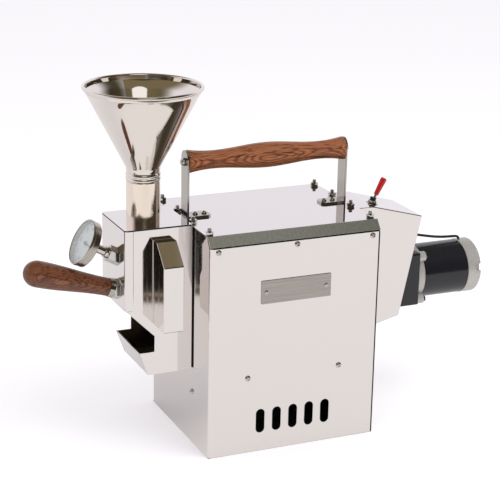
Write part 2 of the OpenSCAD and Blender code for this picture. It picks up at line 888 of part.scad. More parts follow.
// Studs that carry the pull through the slot in the chamber's near side
module gate_studs() {
    y0 = -in_w + slide_gap + 0.2 + gate_t + 1.4;
    y1 = -chamber_w / 2 - slide_gap - sheet - 1.6;
    color("silver") ahead() for (z = gate_stud_z) translate([pull_mid, y0, z]) rotate([90, 0, 0])
        cylinder(r = gate_stud_r, h = y0 - y1);
}

// Side view of the pull, in Y and Z, drawn in by t
module pull_outline(t) {
    y0 = -chamber_w / 2 - slide_gap - t;
    y1 = -chamber_w / 2 - slide_gap - pull_d + t;
    z1 = pull_z + pull_h - t;
    drop = pull_d - pull_top_d;
    k = t * 0.41;
    polygon([
        [y0, pull_z - (t > 0 ? over : 0)], [y0, z1], [y0 - pull_top_d + t + k, z1],
        [y1, z1 - drop + t - k], [y1, pull_z - (t > 0 ? over : 0)]
    ]);
}

// Hollow folded pull, open below for the fingers
module gate_pull() {
    color("mistyrose") ahead() difference() {
        slab_x(pull_near, pull_near + pull_w) pull_outline(0);
        slab_x(pull_near + sheet, pull_near + pull_w - sheet) pull_outline(sheet);
        for (z = gate_stud_z) translate([pull_mid, 0, z]) rotate([90, 0, 0])
            cylinder(r = gate_stud_r + fit_gap, h = chamber_w / 2 + 4);
    }
}

// ---- hopper ----

module hopper_tube() {
    color("wheat") translate([xf - hopper_l, 0, 0]) rotate_extrude() polygon([
        [tube_r - tube_t, chamber_h], [tube_r, chamber_h], [tube_r, tube_z],
        [tube_r - tube_t, tube_z]
    ]);
}

// Spun funnel: spout, neck with its bead, cone, band and rolled rim
module funnel() {
    t = funnel_t;
    spout_r = tube_r - tube_t - 0.3;
    z0 = tube_z;
    z1 = z0 + neck_h;
    z2 = z1 + cone_h;
    z3 = z2 + band_h;
    color("linen") translate([xf - hopper_l, 0, 0]) {
        rotate_extrude($fn = 72) polygon([
            [spout_r, z0 - spout_h], [spout_r, z0], [bead_r - 0.5, z0], [bead_r - 0.1, z0 + 0.7],
            [bead_r, z0 + 2], [bead_r - 0.1, z0 + 3.3], [bead_r - 0.9, z0 + 3.9],
            [bead_r - 0.9, z0 + 4.4], [bead_r - 0.1, z0 + 5], [bead_r, z0 + 6],
            [bead_r - 0.1, z0 + 7], [bead_r - 0.9, z0 + 7.6], [bead_r - 0.9, z0 + 8.1],
            [bead_r - 0.3, z0 + 8.8], [bead_r - 0.3, z1],
            [cone_r, z2], [cone_r + 1, z2 + 1], [cone_r + 1, z3],
            [cone_r + 1 - t, z3], [cone_r + 1 - t, z2 + 1 + t / 2], [cone_r - t, z2 + t],
            [spout_r - t, z1 + t], [spout_r - t, z0 - spout_h]
        ]);
        translate([0, 0, z3]) rotate_extrude($fn = 72) translate([cone_r + 1 + rim_r - t, 0])
            circle(rim_r, $fn = 16);
    }
}

// ---- thermometer ----

module thermo_fitting() {
    color("silver") intersection() {
        port(thermo_z, thermo_tilt) difference() {
            union() {
                translate([0, 0, -6]) cylinder(r = 8, h = 6 + hex_l, $fn = 6);
                translate([0, 0, hex_l]) cylinder(r = 5.6, h = 3);
            }
            translate([0, 0, -10]) cylinder(r = stem_r + fit_gap, h = 40);
        }
        outside_front();
    }
}

module thermo_stem() {
    color("silver") port(thermo_z, thermo_tilt) {
        translate([0, 0, -stem_l]) cylinder(r = stem_r, h = stem_l + hex_l + 3.2);
        translate([0, 0, hex_l + 3.2]) cylinder(r = neck_r, h = dial_out - hex_l - 3.2);
    }
}

// Cup of the thermometer with its bezel
module thermo_case() {
    color("silver") port(thermo_z, thermo_tilt) translate([0, 0, dial_out]) rotate_extrude($fn = 64)
        polygon([
            [0, 0], [dial_r - 1.5, 0], [dial_r, 1.5], [dial_r, dial_d - 0.6],
            [dial_r - 0.6, dial_d], [dial_r - bezel_w, dial_d], [dial_r - bezel_w, 3], [0, 3]
        ]);
}

module thermo_dial() {
    color("white") port(thermo_z, thermo_tilt) translate([0, 0, dial_out + 3]) difference() {
        cylinder(r = dial_r - bezel_w - 0.1, h = 1);
        translate([0, 0, 0.4]) cylinder(r = 0.8 + run_gap, h = 1);
    }
}

module thermo_needle() {
    color("black") port(thermo_z, thermo_tilt) translate([0, 0, dial_out + 3.4]) {
        cylinder(r = 0.8, h = 2.2);
        translate([0, 0, 1]) linear_extrude(0.5)
            polygon([[-1, 4.5], [1, 4.5], [0.6, 0], [0.25, -15.5], [-0.25, -15.5], [-0.6, 0]]);
        translate([0, 0, 0.9]) cylinder(r = 2, h = 0.7);
    }
}

module thermo_lens() {
    color("azure", 0.3) port(thermo_z, thermo_tilt) translate([0, 0, dial_out + dial_d - 0.6 - glass_t])
        cylinder(r = dial_r - bezel_w - 0.1, h = glass_t);
}

// ---- sampler ----

module sampler_socket() {
    color("silver") intersection() {
        port(sampler_z, sampler_tilt) difference() {
            translate([0, 0, -6]) cylinder(r = 9.6, h = 6 + socket_l, $fn = 6);
            translate([0, 0, -10]) cylinder(r = trier_r + run_gap, h = 40);
        }
        outside_front();
    }
}

// Rod whose inner part is cut open as a scoop
module sampler_scoop() {
    cut_r = trier_r - 0.9;
    color("silver") port(sampler_z, sampler_tilt) difference() {
        translate([0, 0, -trier_l]) cylinder(r = trier_r, h = trier_l + wood_s + 12);
        translate([0, 0, -trier_l + 8]) cylinder(r = cut_r, h = trier_l - 30);
        translate([0, -20, -trier_l + 6]) cube([20, 40, trier_l - 26]);
    }
}

module sampler_ferrule() {
    color("silver") port(sampler_z, sampler_tilt) translate([0, 0, socket_l + slide_gap])
        difference() {
            cylinder(r1 = wood_neck_r + 0.9, r2 = wood_neck_r + 0.3, h = ferrule_l);
            translate([0, 0, -over]) cylinder(r = trier_r + fit_gap, h = ferrule_l + 2 * over);
        }
}

// Radius of the turned wooden grip at a share t of its length
function wood_radius(t) =
    wood_neck_r + (wood_r - wood_neck_r) * (1 - cos(180 * min(1, t / 0.84))) / 2;

// Round nose of the wooden grip, from its widest place to its tip
function nose(a) = [wood_r * cos(a), wood_l - wood_r * 1.05 + wood_r * 1.05 * sin(a)];

module sampler_grip() {
    n = 16;
    t1 = 1 - wood_r * 1.05 / wood_l;
    color("sienna") port(sampler_z, sampler_tilt) translate([0, 0, wood_s]) difference() {
        rotate_extrude() polygon(concat(
            [[0, 0]],
            [for (i = [0 : n - 1]) [wood_radius(t1 * i / n), wood_l * t1 * i / n]],
            [for (a = [0 : 10 : 90]) nose(a)]
        ));
        translate([0, 0, -over]) cylinder(r = trier_r + fit_gap, h = 12.2 + over);
    }
}

// ---- drum ----

// Perforated sheet rolled into a tube
module drum_shell() {
    step = (drum_l - 18) / (hole_rings - 1);
    color("darkgray") translate([0, 0, axis_z]) difference() {
        bar_x(drum_x, drum_end, drum_r);
        bar_x(drum_x - over, drum_end + over, drum_r - drum_t);
        for (i = [0 : hole_rings - 1], k = [0 : holes_round - 1])
            translate([drum_x + 9 + i * step, 0, 0])
                rotate([(k + (i % 2) / 2) * 360 / holes_round, 0, 0])
                    translate([0, 0, drum_r - drum_t - over])
                        cylinder(r = hole_r, h = drum_t + 2 * over, $fn = 16);
    }
}

module drum_front_ring() {
    r = drum_r - drum_t - fit_gap;
    color("darkgray") translate([0, 0, axis_z]) difference() {
        bar_x(drum_x, drum_x + sheet, r);
        bar_x(drum_x - over, drum_x + sheet + over, r - ring_w);
    }
}

// Back of the drum with its hub, and small holes that let the hot air in
module drum_back_plate() {
    r = drum_r - drum_t - fit_gap;
    color("darkgray") translate([0, 0, axis_z]) difference() {
        union() {
            bar_x(drum_end - back_t, drum_end, r);
            bar_x(drum_end - hub_l, drum_end, hub_r);
        }
        bar_x(drum_end - hub_l - over, drum_end + over, shaft_r + fit_gap);
        for (ring = [[24, 8], [36, 12], [46, 16]], k = [0 : ring[1] - 1])
            rotate([k * 360 / ring[1], 0, 0]) translate([0, 0, ring[0] * drum_r / 55])
                bar_x(drum_end - back_t - over, drum_end + over, hole_r);
    }
}

// Corners of a vane's cross-section, i steps of n along its helix
function vane_ring(i, n, l, r) =
    let (a = vane_turn * i / n, e = [cos(a), sin(a)], side = [-sin(a), cos(a)] * sheet / 2)
    [for (c = [[r, -1], [r, 1], [r - vane_h, 1], [r - vane_h, -1]])
        let (p = e * c[0] + side * c[1]) [p[0], p[1], l * i / n]];

// Helical vanes that lift the beans and walk them towards the front
module drum_vanes() {
    r = drum_r - drum_t - 0.15;
    l = drum_l - sheet - back_t - 0.4;
    n = 14;
    color("darkgray") translate([drum_x + sheet + 0.2, 0, axis_z]) rotate([0, 90, 0])
        for (k = [0 : vane_n - 1]) rotate([0, 0, k * 360 / vane_n]) polyhedron(
            points = [for (i = [0 : n]) each vane_ring(i, n, l, r)],
            faces = concat(
                [[0, 1, 2, 3], [4 * n + 3, 4 * n + 2, 4 * n + 1, 4 * n]],
                [for (i = [0 : n - 1], c = [0 : 3])
                    [4 * i + c, 4 * i + 4 + c, 4 * i + 4 + (c + 1) % 4]],
                [for (i = [0 : n - 1], c = [0 : 3])
                    [4 * i + c, 4 * i + 4 + (c + 1) % 4, 4 * i + (c + 1) % 4]]
            )
        );
}

module drum_shaft() {
    color("silver") bar_at_axis(drum_end - hub_l - 4, shaft_end, shaft_r);
}

// Flanged bearing on the inside of the rear plate
module shaft_bearing() {
    color("dimgray") difference() {
        union() {
            bar_at_axis(bearing_x, xr - sheet, bearing_r);
            bar_at_axis(xr - sheet - bearing_flange_t, xr - sheet, bearing_flange_r);
        }
        bar_at_axis(bearing_x - over, xr, shaft_r + run_gap);
    }
}

module shaft_coupling() {
    mid = coupling_x + coupling_l / 2;
    color("silver") difference() {
        bar_at_axis(coupling_x, coupling_x + coupling_l, coupling_r);
        bar_at_axis(coupling_x - over, mid, shaft_r + fit_gap);
        bar_at_axis(mid - over, coupling_x + coupling_l + over, motor_shaft_r + fit_gap);
        translate([coupling_x + 4.5, 0, axis_z + coupling_r - 2]) cylinder(r = 1.6, h = 5);
        translate([coupling_x + coupling_l - 4.5, 0, axis_z + coupling_r - 2]) cylinder(r = 1.6, h = 5);
    }
}

module motor_shaft() {
    color("silver") bar_at_axis(shaft_end + 1, gearbox_x + seat_depth, motor_shaft_r);
}

// ---- motor and its housing ----

// Side view of the rear housing, in lengths behind the rear plate, drawn in by t
module housing_outline(t) {
    drop = (housing_l - housing_flat_l) * tan(housing_tilt);
    polygon([
        [t > 0 ? -over : 0, case_h - t], [housing_flat_l, case_h - t],
        [housing_l - t, case_h - drop - t], [housing_foot_l - t, housing_z + t],
        [t > 0 ? -over : 0, housing_root_z + t]
    ]);
}

// Folded housing over the coupling and the gearbox, with the gearbox's way out of its back
module rear_housing() {
    g = gearbox_w / 2 + slide_gap;
    color("mistyrose") difference() {
        translate([xr, 0, 0]) slab_y(-housing_w / 2, housing_w / 2) housing_outline(0);
        translate([xr, 0, 0]) slab_y(-housing_w / 2 + sheet, housing_w / 2 - sheet)
            housing_outline(sheet);
        span([gearbox_x, -g, axis_z - g], [xr + 100, g, axis_z + g]);
        toggle_place() translate([0, 0, -5]) cylinder(r = toggle_bush_r + thread_gap, h = 10);
        translate([0, 0, lead_z]) bar_x(lead_x - 6, lead_x + 6, 3 + fit_gap);
        span([xr - over, -housing_w, cover_z - slide_gap], [xr + slide_gap, housing_w, case_h + over]);
    }
}

// Plate that carries the gearbox ahead of the rear plate
module motor_bracket() {
    w = gearbox_w / 2 + bracket_past;
    color("silver") difference() {
        slab_x(gearbox_x - bracket_t, gearbox_x) round_rect(-w, w, axis_z - w, axis_z + w, 3);
        bar_at_axis(gearbox_x - bracket_t - over, gearbox_x + over, 12);
        each_post() bar_x(gearbox_x - bracket_t - over, gearbox_x + over, screw_r + fit_gap);
    }
}

// Places of the four posts, round the axis
module each_post() {
    for (y = [-post_spread, post_spread], z = [-post_spread, post_spread])
        translate([0, y, axis_z + z]) children();
}

module bracket_posts() {
    color("silver") each_post() {
        bar_x(xr, gearbox_x - bracket_t, post_r);
        bar_x(gearbox_x - bracket_t - 0.5, gearbox_x, screw_r);
    }
}

module gearbox() {
    w = gearbox_w / 2;
    color("#26262a") difference() {
        slab_x(gearbox_x, flange_x) round_rect(-w, w, axis_z - w, axis_z + w, 2);
        bar_at_axis(gearbox_x - over, gearbox_x + seat_depth + 1, motor_shaft_r + run_gap);
    }
}

// Cast flange between the gearbox and the can, with a screw ear at each corner
module motor_flange() {
    w = gearbox_w / 2;
    e = w - ear_r;
    color("silver") difference() {
        slab_x(flange_x, can_x) {
            translate([0, axis_z]) circle(w + 0.5);
            for (y = [-e, e], z = [-e, e]) translate([y, axis_z + z]) circle(ear_r);
        }
        each_ear() bar_x(flange_x - over, can_x + over, ear_screw_r + fit_gap);
    }
}

// Places of the flange's four screws
module each_ear() {
    e = gearbox_w / 2 - ear_r + 0.5;
    for (y = [-e, e], z = [-e, e]) translate([0, y, axis_z + z]) children();
}

module motor_screws() {
    color("#26262a") each_ear() {
        bar_x(flange_x, can_x, ear_screw_r);
        bar_x(can_x, can_x + 2.6, ear_screw_r + 1.3);
    }
}

module motor_can() {
    ear = 3.4;
    color("#202024") difference() {
        bar_at_axis(can_x, cap_x, can_r);
        each_ear() bar_x(can_x - over, can_x + 3.2, ear);
    }
}

// Cast end cap: stepped rim, raised bearing boss and notches at its edge
module motor_end_cap() {
    color("silver") translate([0, 0, axis_z]) difference() {
        union() {
            bar_x(cap_x, cap_x + cap_l - 1, can_r + 0.4);
            bar_x(cap_x + cap_l - 1, cap_x + cap_l, can_r - 0.6);
        }
        difference() {
            bar_x(cap_x + cap_l - 4, cap_x + cap_l + over, can_r - 5);
            bar_x(cap_x, cap_x + cap_l - 1, 9);
        }
        for (a = [80, 260]) rotate([a, 0, 0])
            span([cap_x + cap_l - 6, -3.5, can_r - 4], [cap_x + cap_l + over, 3.5, can_r + 5]);
        translate([cap_x + lead_in, 0, can_r - 2]) cylinder(r = lead_r + fit_gap, h = 4);
    }
}

// Ring of eight points round a point of the lead's route, square to the route there
function lead_ring(i) =
    let (
        a = lead_route[max(i - 1, 0)],
        b = lead_route[min(i + 1, len(lead_route) - 1)],
        d = (b - a) / norm(b - a),
        p = lead_route[i]
    )
    [for (k = [0 : 7]) let (c = lead_r * cos(k * 45), s = lead_r * sin(k * 45))
        [p[0] - d[1] * s, c, p[1] + d[0] * s]];

// The lead is one tube of eight sides along its route
module motor_lead() {
    m = len(lead_route);
    color("black") polyhedron(
        points = [for (i = [0 : m - 1]) each lead_ring(i)],
        faces = concat(
            [[for (k = [0 : 7]) k]],
            [[for (k = [7 : -1 : 0]) (m - 1) * 8 + k]],
            [for (i = [0 : m - 2], k = [0 : 7])
                [i * 8 + k, (i + 1) * 8 + k, (i + 1) * 8 + (k + 1) % 8]],
            [for (i = [0 : m - 2], k = [0 : 7])
                [i * 8 + k, (i + 1) * 8 + (k + 1) % 8, i * 8 + (k + 1) % 8]]
        )
    );
}

module lead_grommet() {
    color("black") translate([0, 0, lead_z]) difference() {
        bar_x(lead_x - 3, lead_x + 1.5, 3);
        bar_x(lead_x - 4, lead_x + 2, lead_r + 0.1);
    }
}

// ---- toggle switch ----

// Frame on the sloping top of the rear housing, with Z square to it
module toggle_place() {
    translate([toggle_x, toggle_y, toggle_z]) rotate([0, housing_tilt, 0]) children();
}

module toggle_body() {
    color("#2a2a30") toggle_place() difference() {
        union() {
            translate([-6.5, -4.5, -16]) cube([13, 9, 14]);
            translate([0, 0, -2.01]) cylinder(r = toggle_bush_r, h = 8);
        }
        translate([0, 0, -0.8]) cylinder(r = bat_r + slide_gap, h = 2);
        translate([0, 0, 1]) cylinder(r1 = bat_r + slide_gap, r2 = bat_r + 1.3, h = 5.1);
    }
}

module toggle_nut() {
    color("silver") toggle_place() translate([0, 0, fit_gap]) difference() {
        union() {
            cylinder(r = 6, h = 0.8);
            translate([0, 0, 0.8]) cylinder(r = 4.9, h = 2.2, $fn = 6);
        }
        translate([0, 0, -over]) cylinder(r = toggle_bush_r + fit_gap, h = 6);
    }
}

// The bat's own frame at its pivot, thrown towards the motor
module bat_frame() {
    translate([0, 0, bat_pivot]) rotate([0, bat_throw, 0]) children();
}

// Bat that pivots inside the bush
module toggle_bat() {
    color("silver") toggle_place() bat_frame() {
        sphere(r = bat_r);
        cylinder(r = bat_r, h = 14);
    }
}

module toggle_sleeve() {
    color("crimson") toggle_place() bat_frame() difference() {
        translate([0, 0, 7.8]) {
            cylinder(r1 = 2.3, r2 = 3.2, h = 17);
            translate([0, 0, 17]) cylinder(r1 = 3.2, r2 = 2.2, h = 1.2);
        }
        translate([0, 0, 6.8]) cylinder(r = bat_r + fit_gap, h = 7.3);
    }
}

case_shell();
rear_plate();
top_cover();
cover_studs();
cover_nuts();
case_screws();
name_plate();
name_plate_screws();
heat_baffle();
handle_leg_front();
handle_leg_rear();
handle_grip();
handle_rod();
handle_nuts();
foot_screws();
chamber_gasket();
chamber_front();
chamber_side_near();
chamber_side_far();
chamber_lid();
chute_tray();
feed_chute();
gate_guides();
discharge_gate();
gate_studs();
gate_pull();
hopper_tube();
funnel();
thermo_fitting();
thermo_stem();
thermo_case();
thermo_dial();
thermo_lens();
thermo_needle();
sampler_socket();
sampler_scoop();
sampler_ferrule();
sampler_grip();
drum_shell();
drum_front_ring();
drum_back_plate();
drum_vanes();
drum_shaft();
shaft_bearing();
shaft_coupling();
motor_shaft();
rear_housing();
motor_bracket();
bracket_posts();
gearbox();
motor_flange();
motor_can();
motor_end_cap();
motor_screws();
motor_lead();
lead_grommet();
toggle_body();
toggle_nut();
toggle_bat();
toggle_sleeve();
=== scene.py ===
"""Looks of a home coffee bean roaster: finishes, small hardware, light and camera.

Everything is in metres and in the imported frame's own axes: -X is the front with the funnel and the
tray, -Y is the near side, and +Z is up. Sizes that the frame knows are read from it.
"""

import json
import logging
import math
from collections.abc import Callable, Iterable, Sequence
from dataclasses import dataclass
from enum import IntEnum

import bmesh
import bpy
from mathutils import Matrix, Vector
from mathutils.bvhtree import BVHTree

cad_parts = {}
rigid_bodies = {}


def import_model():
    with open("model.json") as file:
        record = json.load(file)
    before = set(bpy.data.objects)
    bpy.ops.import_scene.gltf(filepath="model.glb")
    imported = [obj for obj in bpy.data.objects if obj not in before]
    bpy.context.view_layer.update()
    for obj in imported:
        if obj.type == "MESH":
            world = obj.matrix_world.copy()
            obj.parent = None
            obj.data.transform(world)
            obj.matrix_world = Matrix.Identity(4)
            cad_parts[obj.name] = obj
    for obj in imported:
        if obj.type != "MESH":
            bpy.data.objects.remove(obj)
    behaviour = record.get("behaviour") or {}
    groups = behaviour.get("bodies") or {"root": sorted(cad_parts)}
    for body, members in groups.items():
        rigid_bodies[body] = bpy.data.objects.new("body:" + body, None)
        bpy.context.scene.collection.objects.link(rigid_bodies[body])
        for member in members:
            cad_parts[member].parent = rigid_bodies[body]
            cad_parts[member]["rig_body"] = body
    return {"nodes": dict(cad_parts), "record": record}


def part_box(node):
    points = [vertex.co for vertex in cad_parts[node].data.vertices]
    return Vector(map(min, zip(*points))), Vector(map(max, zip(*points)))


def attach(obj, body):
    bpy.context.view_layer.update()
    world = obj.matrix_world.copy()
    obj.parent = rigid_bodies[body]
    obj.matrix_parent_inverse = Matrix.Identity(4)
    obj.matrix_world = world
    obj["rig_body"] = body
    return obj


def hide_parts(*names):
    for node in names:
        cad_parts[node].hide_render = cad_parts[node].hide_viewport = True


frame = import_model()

LOG = logging.getLogger("roaster")
MM = 0.001
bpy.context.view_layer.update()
MERGE = 0.002 * MM  # points of a CAD mesh that are nearer than this are one
SMOOTH_DEGREES = 32  # largest angle between faces that still looks smooth
FLAT_DEGREES = 0.5  # faces of a CAD mesh that meet at less than this are one
BEVEL_STEPS = 3
OFF_FACE = 0.05 * MM  # how far off its face a ray starts
SKIN = 0.02  # millimetres that a dressed piece stays within its CAD piece
INK_THICK = 0.06 * MM  # thickness of a printed stroke
UP = (0, 0, 1)

Colour = tuple[float, float, float, float]
Point = tuple[float, float, float]
Outline = list[tuple[float, float]]
Box = tuple[Vector, Vector]
Radius = Callable[[float], float] | float
Tree = bpy.types.NodeTree
Node = bpy.types.Node
Socket = bpy.types.NodeSocket
Face = bmesh.types.BMFace
Piece = bpy.types.Object


# ---- node and colour helpers ----


def linear(code: str) -> Colour:
    """Turns an sRGB hex code into a linear colour.

    Args:
        code: Six hex digits, such as "c8c4c0".

    Returns:
        Red, green, blue and an alpha of 1.
    """
    parts = [int(code[i : i + 2], 16) / 255 for i in (0, 2, 4)]
    toned = [c / 12.92 if c <= 0.04045 else ((c + 0.055) / 1.055) ** 2.4 for c in parts]
    return (toned[0], toned[1], toned[2], 1.0)


def darker(code: str, share: float) -> Colour:
    """Linear colour of a hex code, less a share of its light."""
    return tuple(c * (1 - share) for c in linear(code)[:3]) + (1.0,)


def gray(level: float) -> Colour:
    """A neutral linear colour of that level."""
    return (level, level, level, 1.0)


def add(
    tree: Tree, kind: str, inputs: dict[str | int, object] | None = None, **settings: object
) -> Node:
    """Adds one node with its settings, values and links.

    Args:
        tree: Tree that gets the node.
        kind: Blender's name of the node type.
        inputs: Inputs by name or place: a value, a socket to link, or a node for its first output.
        **settings: Attributes of the node itself.

    Returns:
        The new node.
    """
    node = tree.nodes.new(kind)
    for name, value in settings.items():
        setattr(node, name, value)
    for key, value in (inputs or {}).items():
        source = value.outputs[0] if isinstance(value, Node) else value
        if isinstance(source, Socket):
            tree.links.new(source, node.inputs[key])
        else:
            node.inputs[key].default_value = source
    return node


def set_ramp(node: Node, stops: Sequence[tuple[float, Colour]]) -> Node:
    """Gives a colour ramp its stops.

    Args:
        node: A ShaderNodeValToRGB.
        stops: Places from 0 to 1 with their linear colours, in order.

    Returns:
        The same node.
    """
    elements = node.color_ramp.elements
    while len(elements) < len(stops):
        elements.new(1.0)
    for element, (place, colour) in zip(elements, stops):
        element.position = place
        element.color = colour
    return node


def tint(
    tree: Tree, shader: Node, pattern: Node | Socket, stops: Sequence[tuple[float, Colour]]
) -> None:
    """Feeds a pattern to a shader's base colour, by the stops of a ramp."""
    ramp = set_ramp(add(tree, "ShaderNodeValToRGB", {"Fac": pattern}), stops)
    tree.links.new(ramp.outputs["Color"], shader.inputs["Base Color"])


def gloss(
    tree: Tree,
    shader: Node,
    pattern: Node | Socket,
    ends: tuple[float, float],
    used: tuple[float, float] = (0.0, 1.0),
) -> None:
    """Feeds a pattern to a shader's roughness.

    Args:
        tree: The material's tree.
        shader: The shader whose roughness changes.
        pattern: Pattern from 0 to 1.
        ends: Roughness at the low and at the high end.
        used: Part of the pattern between those ends.
    """
    limits = {"From Min": used[0], "From Max": used[1], "To Min": ends[0], "To Max": ends[1]}
    rough = add(tree, "ShaderNodeMapRange", {**limits, "Value": pattern})
    tree.links.new(rough.outputs["Result"], shader.inputs["Roughness"])


def bump(tree: Tree, shader: Node, height: Node | Socket, depth_mm: float) -> None:
    """Feeds a height pattern from 0 to 1, of a real depth, to a shader's normal."""
    node = add(
        tree, "ShaderNodeBump", {"Strength": 1.0, "Distance": depth_mm * MM, "Height": height}
    )
    tree.links.new(node.outputs["Normal"], shader.inputs["Normal"])


# ---- finishes ----


@dataclass(frozen=True)
class Finish:
    """A surface finish, built once as a material.

    Args:
        name: Name of the material.
        colour: Base colour as an sRGB hex code.
        roughness: Typical roughness of the surface.
        metallic: 1 for bare metal, 0 for the rest.
    """

    name: str
    colour: str
    roughness: float
    metallic: float = 0.0

    def material(self) -> bpy.types.Material:
        """Returns the finish's material, made at its first use."""
        found = bpy.data.materials.get(self.name)
        if found:
            return found
        made = bpy.data.materials.new(self.name)
        made.use_nodes = True
        tree = made.node_tree
        shader = tree.nodes["Principled BSDF"]
        shader.inputs["Base Color"].default_value = linear(self.colour)
        shader.inputs["Roughness"].default_value = self.roughness
        shader.inputs["Metallic"].default_value = self.metallic
        self.dress(tree, shader, add(tree, "ShaderNodeTexCoord").outputs["Object"])
        return made

    def dress(self, tree: Tree, shader: Node, place: Socket) -> None:
        """Adds the finish's own pattern; the plain finish has none.

        Args:
            tree: The material's tree.
            shader: Its shader.
            place: Object coordinates, in metres.
        """


@dataclass(frozen=True)
class MirrorSheet(Finish):
    """Stainless sheet, rolled and then mirror polished on a belt: clear reflections that waver a
    little over a hand's width, a faint warm cast, and a haze of the finest polishing lines.

    Args:
        wave_mm: Width of the slow waves of the sheet.
        wave_depth_mm: Their depth.
        line_mm: Spacing of the polishing lines, drawn coarser than the real 0.02 mm to show at all.
        line_run: How often the lines change along their run, in a metre.
        streak: How much the lines change the roughness.
    """

    wave_mm: float = 70.0
    wave_depth_mm: float = 0.12
    line_mm: float = 1.6
    line_run: float = 18.0
    streak: float = 0.05

    def dress(self, tree: Tree, shader: Node, place: Socket) -> None:
        """Adds the waves and the polishing haze."""
        slow = {"Scale": 1 / (self.wave_mm * MM), "Detail": 1.0, "Vector": place}
        bump(tree, shader, add(tree, "ShaderNodeTexNoise", slow), self.wave_depth_mm)
        scale = (1 / (self.line_mm * MM), self.line_run, self.line_run)
        stretched = add(tree, "ShaderNodeMapping", {"Scale": scale, "Vector": place})
        fine = {"Scale": 1.0, "Detail": 3.0, "Vector": stretched}
        lines = add(tree, "ShaderNodeTexNoise", fine)
        ends = (self.roughness, self.roughness + self.streak)
        gloss(tree, shader, lines, ends, used=(0.35, 0.75))


@dataclass(frozen=True)
class BrushedSheet(Finish):
    """Stainless sheet rubbed with grit along one axis: soft streaks catch light across the rub.

    Args:
        along: Axis of the streaks, 0 to 2.
        line_mm: Spacing of the streaks.
        line_run: How often a streak changes along its run, in a metre.
        contrast: Change of colour from streak to streak.
        depth_mm: Depth of the streaks.
    """

    along: int = 1
    line_mm: float = 0.9
    line_run: float = 24.0
    contrast: float = 0.35
    depth_mm: float = 0.012

    def dress(self, tree: Tree, shader: Node, place: Socket) -> None:
        """Adds the streaks."""
        scale = [1 / (self.line_mm * MM)] * 3
        scale[self.along] = self.line_run
        stretched = add(tree, "ShaderNodeMapping", {"Scale": scale, "Vector": place})
        look = {"Scale": 1.0, "Detail": 4.0, "Roughness": 0.65, "Vector": stretched}
        lines = add(tree, "ShaderNodeTexNoise", look)
        stops = [(0.3, darker(self.colour, self.contrast)), (0.7, linear(self.colour))]
        tint(tree, shader, lines, stops)
        gloss(tree, shader, lines, (self.roughness * 0.7, self.roughness * 1.3))
        bump(tree, shader, lines, self.depth_mm)


@dataclass(frozen=True)
class TurnedMetal(Finish):
    """Metal spun or turned about Z: fine rings round the axis under a bright polish.

    Args:
        ring_mm: Spacing of the rings.
        ring_run: How often a ring changes along its run, in a metre.
        depth_mm: Depth of the rings.
    """

    ring_mm: float = 1.1
    ring_run: float = 4.0
    depth_mm: float = 0.004

    def dress(self, tree: Tree, shader: Node, place: Socket) -> None:
        """Adds the rings and a faint haze."""
        scale = (self.ring_run, self.ring_run, 1 / (self.ring_mm * MM))
        stretched = add(tree, "ShaderNodeMapping", {"Scale": scale, "Vector": place})
        look = {"Scale": 1.0, "Detail": 2.0, "Vector": stretched}
        rings = add(tree, "ShaderNodeTexNoise", look)
        bump(tree, shader, rings, self.depth_mm)
        gloss(tree, shader, rings, (self.roughness * 0.6, self.roughness * 1.6))


@dataclass(frozen=True)
class TintedSteel(Finish):
    """Bare steel, dull, with mottled patches of colour: heat tint on the drum; on the insides of the
    case and the chamber the same patches carry painted shade.

    Args:
        patch_mm: Size of the patches.
        dark: Colour of the darkest patches.
        pale: Colour of the palest patches.
    """

    patch_mm: float = 26.0
    dark: str = "55504a"
    pale: str = "7d6140"

    def dress(self, tree: Tree, shader: Node, place: Socket) -> None:
        """Adds the coloured patches and the dull mottling."""
        look = {"Scale": 1 / (self.patch_mm * MM), "Detail": 4.0, "Vector": place}
        heat = add(tree, "ShaderNodeTexNoise", look)
        tones = zip((0.3, 0.48, 0.66), (self.dark, self.colour, self.pale))
        tint(tree, shader, heat, [(at, linear(tone)) for at, tone in tones])
        gloss(tree, shader, heat, (self.roughness * 0.8, self.roughness * 1.3))


